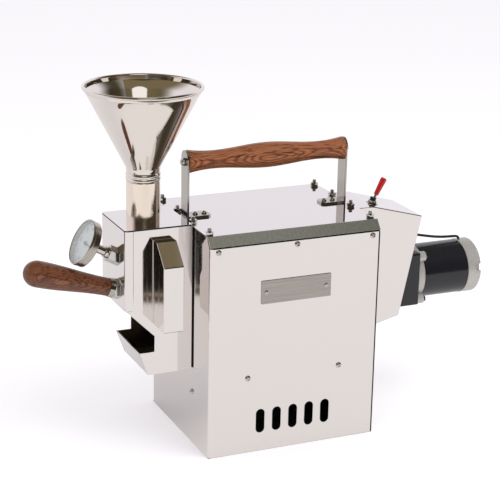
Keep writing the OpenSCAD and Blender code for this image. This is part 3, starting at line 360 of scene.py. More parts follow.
@dataclass(frozen=True)
class OiledWood(Finish):
    """Rosewood turned on a lathe and oiled: red-brown, with darker growth lines that run the length
    of the piece, open pores as short dark dashes, and a soft satin gloss.

    Args:
        centre: Middle of the piece, in metres.
        tilt: Angle of the piece's axis above the level X axis, in degrees.
        band_mm: Width of a growth band.
        wander: How far the bands wander across and down, in bands.
        pore_scale: Pores in a metre, along and across the piece.
        pore_depth_mm: Depth of the pores.
        dark: Colour of the darkest growth lines.
        pale: Colour of the palest wood.
    """

    centre: Point = (0.0, 0.0, 0.0)
    tilt: float = 0.0
    band_mm: float = 1.5
    wander: Point = (0.0, 3.0, 1.5)
    pore_scale: Point = (45.0, 620.0, 620.0)
    pore_depth_mm: float = 0.05
    dark: str = "6e3a22"
    pale: str = "b07146"

    def dress(self, tree: Tree, shader: Node, place: Socket) -> None:
        """Adds the growth lines, the pores and the satin."""
        middle = {0: place, 1: self.centre}
        moved = add(tree, "ShaderNodeVectorMath", middle, operation="SUBTRACT")
        turn = (0.0, math.radians(self.tilt), 0.0)
        own = add(tree, "ShaderNodeMapping", {"Rotation": turn, "Vector": moved})
        bands = self.bands(tree, own)
        stretched = add(tree, "ShaderNodeMapping", {"Scale": self.pore_scale, "Vector": own})
        look = {"Scale": 1.0, "Detail": 3.0, "Roughness": 0.6, "Vector": stretched}
        fibres = add(tree, "ShaderNodeTexNoise", look)
        tones = zip((0.0, 0.35, 0.75, 1.0), (self.dark, self.colour, self.colour, self.pale))
        wood = add(tree, "ShaderNodeValToRGB", {"Fac": bands})
        set_ramp(wood, [(at, linear(tone)) for at, tone in tones])
        pores = add(tree, "ShaderNodeValToRGB", {"Fac": fibres})
        tones = zip((0.34, 0.5, 0.72), ("6c4a3a", "ffffff", "fff0e4"))
        set_ramp(pores, [(at, linear(tone)) for at, tone in tones])
        layers = {0: 0.85, 6: wood, 7: pores}
        mixed = add(tree, "ShaderNodeMix", layers, data_type="RGBA", blend_type="MULTIPLY")
        tree.links.new(mixed.outputs[2], shader.inputs["Base Color"])
        gloss(tree, shader, bands, (self.roughness * 1.25, self.roughness * 0.75))
        bump(tree, shader, fibres, self.pore_depth_mm)

    def bands(self, tree: Tree, own: Node) -> Socket:
        """Growth bands along the piece, bent by a slow noise.

        Args:
            tree: The material's tree.
            own: Coordinates along the piece's own axis.

        Returns:
            The bands, from 0 to 1.
        """
        slow = add(tree, "ShaderNodeMapping", {"Scale": (9.0, 60.0, 60.0), "Vector": own})
        look = {"Scale": 1.0, "Detail": 2.0, "Distortion": 0.6, "Vector": slow}
        bend = add(tree, "ShaderNodeTexNoise", look).outputs["Color"]
        offset = add(
            tree, "ShaderNodeVectorMath", {0: bend, 1: self.wander}, operation="MULTIPLY"
        )
        across = 1 / (self.band_mm * MM)
        scale = (1.2, across, 0.45 * across)
        sideways = add(tree, "ShaderNodeMapping", {"Scale": scale, "Vector": own})
        warped = add(tree, "ShaderNodeVectorMath", {0: sideways, 1: offset}, operation="ADD")
        look = {"Scale": 0.55, "Distortion": 2.6, "Detail": 4.0, "Detail Scale": 1.1}
        kind = {"wave_type": "BANDS", "bands_direction": "Y"}
        return add(tree, "ShaderNodeTexWave", {**look, "Vector": warped}, **kind).outputs["Fac"]


@dataclass(frozen=True)
class GrainedCoat(Finish):
    """A coat or casting with a fine grain, such as enamel, sand-cast alloy, rubber or moulded
    plastic: the grain breaks the highlight a little.

    Args:
        grain_mm: Size of the grain.
        depth_mm: Depth of the grain.
        spread: Change of colour over the grain.
        patch_mm: Size of the slow change of roughness.
    """

    grain_mm: float = 0.8
    depth_mm: float = 0.02
    spread: float = 0.15
    patch_mm: float = 20.0

    def dress(self, tree: Tree, shader: Node, place: Socket) -> None:
        """Adds the grain and the slow change of gloss."""
        fine = {"Scale": 1 / (self.grain_mm * MM), "Detail": 3.0, "Vector": place}
        grain = add(tree, "ShaderNodeTexNoise", fine)
        slow = {"Scale": 1 / (self.patch_mm * MM), "Detail": 2.0, "Vector": place}
        patch = add(tree, "ShaderNodeTexNoise", slow)
        stops = [(0.35, darker(self.colour, self.spread)), (0.65, linear(self.colour))]
        tint(tree, shader, grain, stops)
        gloss(tree, shader, patch, (self.roughness * 0.8, self.roughness * 1.25))
        bump(tree, shader, grain, self.depth_mm)


@dataclass(frozen=True)
class ClearGlass(Finish):
    """Thin flat glass of a dial: clear, with the first reflection of the room on its face.

    Args:
        cover: Share of the pane's own surface that is seen.
        bend: Refractive index of the glass.
        smear: How much the faint smears add to its roughness.
        smear_scale: Smears in a metre.
    """

    cover: float = 0.22
    bend: float = 1.5
    smear: float = 0.06
    smear_scale: float = 60.0

    def dress(self, tree: Tree, shader: Node, place: Socket) -> None:
        """Makes the pane clear, with the faintest smear in its gloss."""
        shader.inputs["Alpha"].default_value = self.cover
        shader.inputs["IOR"].default_value = self.bend
        look = {"Scale": self.smear_scale, "Detail": 2.0, "Vector": place}
        smears = add(tree, "ShaderNodeTexNoise", look)
        gloss(tree, shader, smears, (self.roughness, self.roughness + self.smear))


# Rolled sheet, polished to a mirror on a belt: the room stands in it, a little wavy.
SHEET = MirrorSheet("mirror_polished_stainless_sheet", "e6e1df", 0.02, 1.0)
# The same sheet a grade duller: what it reflects goes soft with distance.
SATIN = MirrorSheet(
    "satin_polished_stainless_sheet", "e6e1df", 0.05, 1.0, wave_mm=110.0, streak=0.06
)
# Sheet painted near black inside the case, the cover and the housing, and on the rear plate's cut
# edges: painted shade, so that slots and gaps read black.
BLACK_SHADE_INSIDE = TintedSteel("black_shade_painted_inside_of_the_sheet", "2b2723", 0.5, 0.6, pale="3d372f", dark="191715")
# Sheet painted a dim brown inside the chamber, the tray and the pull: painted shade of the hollow,
# with a dim gleam behind bright edges.
BROWN_SHADE_INSIDE = TintedSteel(
    "brown_shade_painted_inside_of_the_sheet", "54473a", 0.42, 0.85, pale="84775f", dark="2e261f"
)
# Sheet rubbed with coarse grit down its slope: gray streaks beside the mirror.
STRIP = BrushedSheet(
    "brushed_edge_strip_of_the_cover", "f0f2f1", 0.2, 1.0, along=2, line_mm=2.2, contrast=0.25
)
# Bar rubbed along its length: upright streaks and an even gray.
LEG = BrushedSheet("brushed_flat_bar", "bcb7b1", 0.16, 1.0, along=2, contrast=0.15)
# Plate rubbed along its length: dull, so that it stands out from the mirror round it.
PLATE = BrushedSheet("brushed_name_plate", "c4bdb7", 0.32, 1.0, along=0, line_mm=0.5)
# Cup pressed and rubbed: a soft band of light round the dial.
BEZEL = BrushedSheet("brushed_thermometer_case", "c9c2b8", 0.22, 1.0, line_mm=0.6)
# Steel plated in a barrel: small warm sparks.
FASTENER = GrainedCoat(
    "nickel_plated_fastener", "d2cfca", 0.12, 1.0, grain_mm=1.2, depth_mm=0.006, spread=0.1
)
# Sheet spun round its axis and polished: bent, slightly ringed reflections.
FUNNEL = TurnedMetal("spun_polished_stainless", "e6dfd8", 0.05, 1.0)
# Tube drawn through a die: a warmer, softer gleam than the funnel's.
TUBE = TurnedMetal("drawn_stainless_tube", "f3e6d8", 0.14, 1.0, depth_mm=0.01)
# Steel coloured by heat: matt patches of straw, brown and gray.
TINTED = TintedSteel("heat_tinted_drum_steel", "746c60", 0.38, 1.0)
# Enamel baked on: deep black with a narrow highlight.
ENAMEL = GrainedCoat(
    "black_baked_enamel", "1f1f24", 0.17, 0.0, grain_mm=1.0, depth_mm=0.008, spread=0.3
)
# Alloy cast in sand and blasted: pale gray grain, no clear reflection.
CASTING = GrainedCoat(
    "sand_cast_aluminium", "d2cfca", 0.5, 0.55, grain_mm=0.9, depth_mm=0.05, spread=0.25
)
# Rubber out of a mould: matt black.
RUBBER = GrainedCoat("black_rubber", "151515", 0.6, 0.0, grain_mm=0.7, depth_mm=0.03)
# Coated card: an even cool white behind the glass.
CARD = GrainedCoat(
    "printed_dial_card", "e4e7ea", 0.5, 0.0, grain_mm=1.5, depth_mm=0.005, spread=0.03
)
# Ink printed through a screen: flat dark strokes.
INK = GrainedCoat("black_printing_ink", "24262a", 0.55, 0.0, grain_mm=1.0, depth_mm=0.004)
# Phenolic out of a mould: near black with a blunt gleam.
SWITCH = GrainedCoat("moulded_phenolic_switch", "1d1d20", 0.4, 0.0, grain_mm=0.6, depth_mm=0.02)
# Sleeve dipped in vinyl: a wet red gloss.
VINYL = GrainedCoat(
    "dipped_red_vinyl", "c01a1f", 0.18, 0.0, grain_mm=2.0, depth_mm=0.02, spread=0.12
)
# Pane of drawn glass: hardly seen, but for a faint smear.
GLASS = ClearGlass("dial_glass", "f4fbfb", 0.02)

FINISH_OF_SLOT: dict[str, Finish] = {
    "polished_stainless": SHEET,
    "nickel_steel": FASTENER,
    "brushed_stainless": LEG,
    "heat_tinted_steel": TINTED,
    "black_enamel": ENAMEL,
    "cast_alloy": CASTING,
    "black_rubber": RUBBER,
    "dial_white": CARD,
    "needle_black": INK,
    "dial_glass": GLASS,
    "switch_black": SWITCH,
    "red_vinyl": VINYL,
}


# ---- mesh helpers ----


def slot_of_node(node: str) -> str:
    """The record's material slot of a node."""
    return next(p["material_slot"] for p in frame["record"]["subparts"] if p["node"] == node)


def body_of_node(node: str) -> str:
    """The CAD body that a node rides on."""
    return frame["nodes"][node]["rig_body"]


def dress_piece(
    piece: Piece, node: str, finishes: Sequence[Finish], replace: bool = True
) -> Piece:
    """Gives a finished mesh its materials and its body, and hides the node that it stands for.

    Args:
        piece: The piece, at the origin.
        node: CAD node that it stands for or sits on.
        finishes: Finishes in the order of the mesh's material numbers.
        replace: Whether it stands for the node.

    Returns:
        The same piece.
    """
    numbers = [face.material_index for face in piece.data.polygons]
    piece.data.materials.clear()
    for finish in finishes:
        piece.data.materials.append(finish.material())
    piece.data.polygons.foreach_set("material_index", numbers)
    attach(piece, body_of_node(node))
    if replace:
        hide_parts(node)
    LOG.info("%s: %d faces", piece.name, len(piece.data.polygons))
    return piece


def link_mesh(name: str, mesh: bpy.types.Mesh | bpy.types.Curve) -> Piece:
    """Puts a mesh or a curve into the scene as an object at the origin."""
    made = bpy.data.objects.new(name, mesh)
    bpy.context.scene.collection.objects.link(made)
    return made


def plain_mesh(holder: Piece, name: str) -> bpy.types.Mesh:
    """Takes an object's evaluated shape as a plain mesh and removes the object."""
    graph = bpy.context.evaluated_depsgraph_get()
    mesh = bpy.data.meshes.new_from_object(holder.evaluated_get(graph))
    bpy.data.objects.remove(holder)
    mesh.name = name
    return mesh


def cad_shape(node: str) -> tuple[bpy.types.Mesh, bmesh.types.BMesh]:
    """Copies a CAD node's mesh, and gives the copy and its bmesh with the doubles merged."""
    mesh = frame["nodes"][node].data.copy()
    if "custom_normal" in mesh.attributes:
        mesh.attributes.remove(mesh.attributes["custom_normal"])
    shape = bmesh.new()
    shape.from_mesh(mesh)
    bmesh.ops.remove_doubles(shape, verts=shape.verts, dist=MERGE)
    return mesh, shape


@dataclass(frozen=True)
class EdgeRounding:
    """How a folded sheet's edges are rounded.

    Args:
        bend_mm: Outer radius of a bend.
        edge_mm: Rounding of a cut edge.
        bend_length_mm: Shortest edge that counts as a bend.
        edge_length_mm: Shortest edge that is rounded at all.
        least_degrees: Smallest angle that is rounded.
        bend_widths: Width of the faces beside a bend, at least, in bend radii.
    """

    bend_mm: float = 1.0
    edge_mm: float = 0.2
    bend_length_mm: float = 14.0
    edge_length_mm: float = 3.0
    least_degrees: float = 25.0
    bend_widths: float = 2.5

    def weight(self, edge: bmesh.types.BMEdge) -> float:
        """Share of the bend radius that an edge is rounded with, 0 for a smooth or short edge."""
        length = edge.calc_length()
        if len(edge.link_faces) != 2 or length < self.edge_length_mm * MM:
            return 0.0
        angle = edge.calc_face_angle_signed(0.0)
        if abs(angle) < math.radians(self.least_degrees):
            return 0.0
        width = min(face.calc_area() for face in edge.link_faces) / max(length, 1e-6)
        is_long = length > self.bend_length_mm * MM and width > self.bend_widths * self.bend_mm * MM
        return 1.0 if angle > 0 and is_long else self.edge_mm / self.bend_mm


def soften(
    node: str,
    name: str,
    finishes: Sequence[Finish],
    rounding: EdgeRounding = EdgeRounding(),
    face_side: Callable[[Face], int] | None = None,
) -> Piece:
    """Dresses a CAD node in a copy of itself with rounded bends and cut edges.

    Args:
        node: CAD node to copy.
        name: Name of the new piece.
        finishes: Finishes in the order of the material numbers.
        rounding: Radii of the bends and edges.
        face_side: Gives each face its material number, or None for 0.

    Returns:
        The new piece at the origin.
    """
    mesh, shape = cad_shape(node)
    flat = math.radians(FLAT_DEGREES)
    bmesh.ops.dissolve_limit(shape, angle_limit=flat, verts=shape.verts, edges=shape.edges)
    weights = shape.edges.layers.float.new("bevel_weight_edge")
    for edge in shape.edges:
        edge[weights] = rounding.weight(edge)
    for face in shape.faces:
        face.material_index = face_side(face) if face_side else 0
        face.smooth = True
    shape.to_mesh(mesh)
    shape.free()
    mesh.set_sharp_from_angle(angle=math.radians(SMOOTH_DEGREES))
    holder = link_mesh(name + "_holder", mesh)
    bevel = holder.modifiers.new("round", "BEVEL")
    bevel.limit_method = "WEIGHT"
    bevel.width = rounding.bend_mm * MM
    bevel.segments = BEVEL_STEPS
    bevel.use_clamp_overlap = False
    bevel.harden_normals = True
    return dress_piece(link_mesh(name, plain_mesh(holder, name)), node, finishes)


def finished(shape: bmesh.types.BMesh, name: str) -> Piece:
    """Turns a bmesh, which is freed, into an object with smooth faces between its sharp edges."""
    mesh = bpy.data.meshes.new(name)
    bmesh.ops.remove_doubles(shape, verts=shape.verts, dist=MERGE)
    bmesh.ops.recalc_face_normals(shape, faces=shape.faces)
    for face in shape.faces:
        face.smooth = True
    shape.to_mesh(mesh)
    shape.free()
    mesh.set_sharp_from_angle(angle=math.radians(SMOOTH_DEGREES))
    return link_mesh(name, mesh)


def loft(rings: Sequence[Sequence[Vector]], closed: bool = False) -> bmesh.types.BMesh:
    """Skins rings of points that all have the same count.

    Args:
        rings: Rings in order along the piece.
        closed: Whether the last ring joins the first; if not, both ends get a face.

    Returns:
        A new bmesh with the skin.
    """
    shape = bmesh.new()
    rows = [[shape.verts.new(point) for point in ring] for ring in rings]
    count = len(rows[0])
    for low, high in list(zip(rows, rows[1:])) + ([(rows[-1], rows[0])] if closed else []):
        for i in range(count):
            j = (i + 1) % count
            shape.faces.new((low[i], low[j], high[j], high[i]))
    if not closed:
        shape.faces.new(rows[0][::-1])
        shape.faces.new(rows[-1])
    return shape


def turned_ring(radius: Radius, height: float, count: int) -> list[Vector]:
    """Ring of points about Z, at a height.

    Args:
        radius: Radius, or its function of the angle.
        height: Place along Z.
        count: Number of points.

    Returns:
        The points of the ring.
    """
    points = []
    for i in range(count):
        angle = 2 * math.pi * i / count
        r = radius(angle) if callable(radius) else radius
        points.append(Vector((r * math.cos(angle), r * math.sin(angle), height)))
    return points


def turned(profile: Outline, matrix: Matrix, name: str, count: int, closed: bool) -> Piece:
    """Turns a profile about Z and puts it in its place.

    Args:
        profile: Radii and heights in millimetres.
        matrix: Place and direction of the axis.
        name: Name of the object.
        count: Number of steps round the axis.
        closed: Whether the profile is a closed outline, as of a tube.

    Returns:
        The new object, with its place in its mesh.
    """
    shape = loft([turned_ring(max(r, 0.001) * MM, z * MM, count) for r, z in profile], closed)
    bmesh.ops.transform(shape, matrix=matrix, verts=shape.verts)
    return finished(shape, name)


def arc(middle: tuple[float, float], size: tuple[float, float], angles: Iterable[int]) -> Outline:
    """Points of an arc in a profile: its middle, its two radii and its angles in degrees."""
    turns = [math.radians(angle) for angle in angles]
    return [(middle[0] + size[0] * math.cos(a), middle[1] + size[1] * math.sin(a)) for a in turns]


def along(origin: Point, axis: Point) -> Matrix:
    """Frame at a point in metres with its Z along an axis and its Y along the frame's Y."""
    z = Vector(axis).normalized()
    x = Vector((0, 1, 0)).cross(z).normalized()
    turn = Matrix((x, z.cross(x), z)).transposed().to_4x4()
    return Matrix.Translation(origin) @ turn


def island_boxes(node: str) -> list[Box]:
    """Boxes of a CAD node's separate solids, in metres, in the order of their lowest corner."""
    shape = bmesh.new()
    shape.from_mesh(frame["nodes"][node].data)
    bmesh.ops.remove_doubles(shape, verts=shape.verts, dist=MERGE)
    left = set(shape.verts)
    boxes = []
    while left:
        stack = [left.pop()]
        low, high = stack[0].co.copy(), stack[0].co.copy()
        while stack:
            vertex = stack.pop()
            low = Vector(map(min, low, vertex.co))
            high = Vector(map(max, high, vertex.co))
            near = {e.other_vert(vertex) for e in vertex.link_edges} & left
            left -= near
            stack.extend(near)
        boxes.append((low, high))
    shape.free()
    return sorted(boxes, key=lambda box: tuple(round(c, 4) for c in box[0]))


def foot_of(box: Box, axis: int, outwards: int, height: float) -> tuple[Point, Point]:
    """Foot and axis of a fastener.

    Args:
        box: Its box.
        axis: Axis that it stands along, 0 to 2.
        outwards: 1 or -1, its direction along that axis.
        height: How far its foot is from its outer end, in metres.

    Returns:
        The foot's middle and the direction, both as triples.
    """
    foot, way = (box[0] + box[1]) / 2, Vector((0, 0, 0))
    foot[axis] = box[1 if outwards > 0 else 0][axis] - outwards * height
    way[axis] = outwards
    return tuple(foot), tuple(way)


# ---- repeated hardware ----


def group_tree(name: str, inputs: dict[str, str]) -> bpy.types.GeometryNodeTree:
    """Starts a Geometry Nodes group with named inputs, by socket kind, and a geometry output."""
    tree = bpy.data.node_groups.new(name, "GeometryNodeTree")
    for label, kind in inputs.items():
        tree.interface.new_socket(label, in_out="INPUT", socket_type="NodeSocket" + kind)
    tree.interface.new_socket("Geometry", in_out="OUTPUT", socket_type="NodeSocketGeometry")
    return tree


def finish_group(tree: Tree, finish: Socket, instances: Node) -> Tree:
    """Ends a group: realizes its instances, sets their material and gives them out."""
    real = add(tree, "GeometryNodeRealizeInstances", {"Geometry": instances})
    dressed = add(tree, "GeometryNodeSetMaterial", {"Geometry": real, "Material": finish})
    add(tree, "NodeGroupOutput", {"Geometry": dressed})
    return tree


def hardware_group() -> Tree:
    """Group that stands one piece of hardware on each place, along the place's own axis, each
    turned by a random angle about it."""
    kinds = {"Places": "Geometry", "Piece": "Object", "Finish": "Material", "Seed": "Int"}
    tree = group_tree("hardware_on_places", kinds)
    given = add(tree, "NodeGroupInput").outputs
    piece = add(tree, "GeometryNodeObjectInfo", {"Object": given["Piece"]}).outputs["Geometry"]
    named = {"Name": "axis"}
    axis = add(tree, "GeometryNodeInputNamedAttribute", named, data_type="FLOAT_VECTOR")
    aim = {"Vector": axis.outputs["Attribute"]}
    upright = add(tree, "FunctionNodeAlignRotationToVector", aim, axis="Z")
    limits = {2: 0.0, 3: 2 * math.pi, "Seed": given["Seed"]}
    random = add(tree, "FunctionNodeRandomValue", limits, data_type="FLOAT").outputs[1]
    spin = add(tree, "FunctionNodeAxisAngleToRotation", {"Axis": UP, "Angle": random})
    both = {"Rotation": upright, "Rotate By": spin}
    turn = add(tree, "FunctionNodeRotateRotation", both, rotation_space="LOCAL")
    stand = {"Points": given["Places"], "Instance": piece, "Rotation": turn}
    stood = add(tree, "GeometryNodeInstanceOnPoints", stand)
    return finish_group(tree, given["Finish"], stood)


def scale_group() -> Tree:
    """Group that prints a dial's scale: thin strokes on an arc, every so many of them longer."""
    kinds = {"Strokes": "Int", "Every": "Int", "Radius": "Float", "Length": "Float"}
    kinds |= {"Width": "Float", "Start": "Float", "Sweep": "Float", "Finish": "Material"}
    tree = group_tree("dial_scale", kinds)
    given = add(tree, "NodeGroupInput").outputs
    points = add(tree, "GeometryNodePoints", {"Count": given["Strokes"]})
    found = {name: given[name] for name in kinds}
    found["Index"] = add(tree, "GeometryNodeInputIndex")
    steps = (
        ("last", "SUBTRACT", "Strokes", 1.0),
        ("share", "DIVIDE", "Index", "last"),
        ("angle", "MULTIPLY_ADD", "share", "Sweep", "Start"),
        ("rest", "MODULO", "Index", "Every"),
        ("is_long", "LESS_THAN", "rest", 0.5),
        ("size", "MULTIPLY_ADD", "is_long", 0.8, 1.0),
        ("length", "MULTIPLY", "size", "Length"),
        ("half", "MULTIPLY", "length", 0.5),
        ("middle", "SUBTRACT", "Radius", "half"),
    )
    for name, operation, *terms in steps:
        inputs = {i: found[term] if isinstance(term, str) else term for i, term in enumerate(terms)}
        found[name] = add(tree, "ShaderNodeMath", inputs, operation=operation)
    spot = add(tree, "ShaderNodeCombineXYZ", {"X": found["middle"]})
    about = {"Vector": spot, "Angle": found["angle"]}
    spot = add(tree, "ShaderNodeVectorRotate", about, rotation_type="Z_AXIS")
    placed = add(tree, "GeometryNodeSetPosition", {"Geometry": points, "Position": spot})
    stroke = add(tree, "GeometryNodeMeshCube", {"Size": (1.0, 1.0, INK_THICK)})
    turn = add(tree, "ShaderNodeCombineXYZ", {"Z": found["angle"]})
    shape = {"X": found["length"], "Y": given["Width"], "Z": 1.0}
    size = add(tree, "ShaderNodeCombineXYZ", shape)
    stand = {"Points": placed, "Instance": stroke, "Rotation": turn, "Scale": size}
    stood = add(tree, "GeometryNodeInstanceOnPoints", stand)
    return finish_group(tree, given["Finish"], stood)


def run_group(
    tree: Tree,
    base: bpy.types.Mesh,
    values: dict[str, object],
    name: str,
    matrix: Matrix | None = None,
) -> Piece:
    """Runs a group on a mesh and keeps the plain result.

    Args:
        tree: The group.
        base: Mesh that the modifier stands on.
        values: Inputs by their names.
        name: Name of the result.
        matrix: Place that is put into the result's mesh, or None.

    Returns:
        A plain mesh object at the origin.
    """
    holder = link_mesh(name + "_holder", base)
    modifier = holder.modifiers.new("nodes", "NODES")
    modifier.node_group = tree
    for item in tree.interface.items_tree:
        if item.item_type == "SOCKET" and item.in_out == "INPUT" and item.name in values:
            modifier[item.identifier] = values[item.name]
    mesh = plain_mesh(holder, name)
    shape = bmesh.new()
    shape.from_mesh(mesh)
    if matrix:
        bmesh.ops.transform(shape, matrix=matrix, verts=shape.verts)
    bmesh.ops.recalc_face_normals(shape, faces=shape.faces)
    shape.to_mesh(mesh)
    shape.free()
    return link_mesh(name, mesh)


@dataclass(frozen=True)
class Hardware:
    """A kind of fastener, turned with its bearing face on Z = 0 and its head upwards.

    Args:
        kind: Name of the kind.
        rings: Radii (a number, or a pair of a hexagon's size over corners and a largest radius) and
            heights in millimetres, from the bottom to the top.
        head: Height of its head in millimetres.
        finish: Finish of the pieces.
        count: Points in a ring, a multiple of 12.
    """

    kind: str
    rings: tuple[tuple[float | tuple[float, float], float], ...]
    head: float = 1.9
    finish: Finish = FASTENER
    count: int = 24

    def piece(self) -> Piece:
        """Returns a new object of one piece at the origin."""

        def radius(size: float | tuple[float, float], angle: float) -> float:
            """Radius of a ring at an angle: round, or a hexagon with its corners turned off."""
            if not isinstance(size, tuple):
                return max(size, 0.001) * MM
            inner = size[0] * MM / 2 * math.cos(math.pi / 6)
            from_flat = (angle + math.pi / 6) % (math.pi / 3) - math.pi / 6
            return min(inner / math.cos(from_flat), size[1] * MM)

        rings = [
            turned_ring(lambda angle, size=size: radius(size, angle), z * MM, self.count)
            for size, z in self.rings
        ]
        return finished(loft(rings), self.kind)

    def stand(self, places: Sequence[tuple[Point, Point]], node: str, name: str, seed: int) -> None:
        """Stands the piece on each place by Geometry Nodes, as one plain mesh.

        Args:
            places: Feet in metres and their axes.
            node: CAD node that the result stands for.
            name: Name of the result.
            seed: Seed of the pieces' turns.
        """
        spots = bpy.data.meshes.new(name + "_places")
        spots.from_pydata([foot for foot, _ in places], [], [])
        axes = spots.attributes.new("axis", "FLOAT_VECTOR", "POINT")
        axes.data.foreach_set("vector", [c for _, axis in places for c in axis])
        one = self.piece()
        tree = bpy.data.node_groups.get("hardware_on_places") or hardware_group()
        values = {"Piece": one, "Finish": self.finish.material(), "Seed": seed}
        result = run_group(tree, spots, values, name)
        bpy.data.objects.remove(one)
        dress_piece(result, node, [self.finish])


def threads(radius: float, low: float, high: float, pitch: float) -> Outline:
    """Ring radii and heights of a threaded end, with its last turn chamfered."""
    rings = []
    for i in range(max(1, int((high - low) / pitch))):
        z = low + i * pitch
        rings += [(radius * 0.84, z), (radius, z + pitch * 0.35), (radius, z + pitch * 0.6)]
    return rings + [(radius * 0.84, high - pitch * 0.25), (radius * 0.6, high)]


SCREW_CORE = ((1.45, -0.9), (1.45, 0.0), (2.6, 0.0), (2.75, 0.15), (2.75, 0.55), (2.55, 1.1))
SCREW_TOP = ((2.1, 1.6), (1.6, 1.82), (1.38, 1.85), ((2.5, 1.3), 1.7), ((2.5, 1.3), 0.6))
BUTTON_SCREW = Hardware("button_screw", SCREW_CORE + SCREW_TOP)
RIVET_CORE = ((1.15, -0.5), (1.15, 0.0), (1.9, 0.0), (1.95, 0.12), (1.8, 0.55), (1.3, 0.9))
RIVET_TOP = ((0.85, 0.98), ((1.5, 0.78), 0.9), ((1.5, 0.78), 0.35))
PLATE_RIVET = Hardware("plate_screw", RIVET_CORE + RIVET_TOP, head=1.0)
NUT_SIDES = (((7.9, 3.75), 0.25), ((7.9, 3.95), 0.6), ((7.9, 3.95), 2.6), ((7.9, 3.75), 2.95))
COVER_NUT = Hardware("cover_nut", ((3.3, 0.02), *NUT_SIDES, (3.3, 3.18)))
STUD_CORE = ((1.6, -2.6), (1.95, -2.4), (1.95, 3.0))
COVER_STUD = Hardware("cover_stud", (*STUD_CORE, *threads(1.98, 3.1, 6.15, 0.7)))
DOME_SIDES = (((8.5, 4.1), 0.2), ((8.5, 4.25), 0.5), ((8.5, 4.25), 1.9), ((8.5, 3.7), 2.35))
DOME_TOP = ((3.3, 2.45), (2.9, 3.2), (2.1, 3.9), (1.1, 4.15))
DOME_NUT = Hardware("dome_nut", ((3.4, 0.02), *DOME_SIDES, *DOME_TOP))


# ---- stage, light and camera ----


def empty_material(name: str) -> tuple[bpy.types.Material, Tree]:
    """A new material and its tree, with no nodes in it."""
    material = bpy.data.materials.new(name)
    material.use_nodes = True
    material.node_tree.nodes.clear()
    return material, material.node_tree


def from_lens(tree: Tree, rays: bpy.types.NodeOutputs) -> Node:
    """1 for rays from the lens, also through glass, and 0 for the rest."""
    ways = {0: rays["Is Camera Ray"], 1: rays["Is Transmission Ray"]}
    return add(tree, "ShaderNodeMath", ways, operation="MAXIMUM")


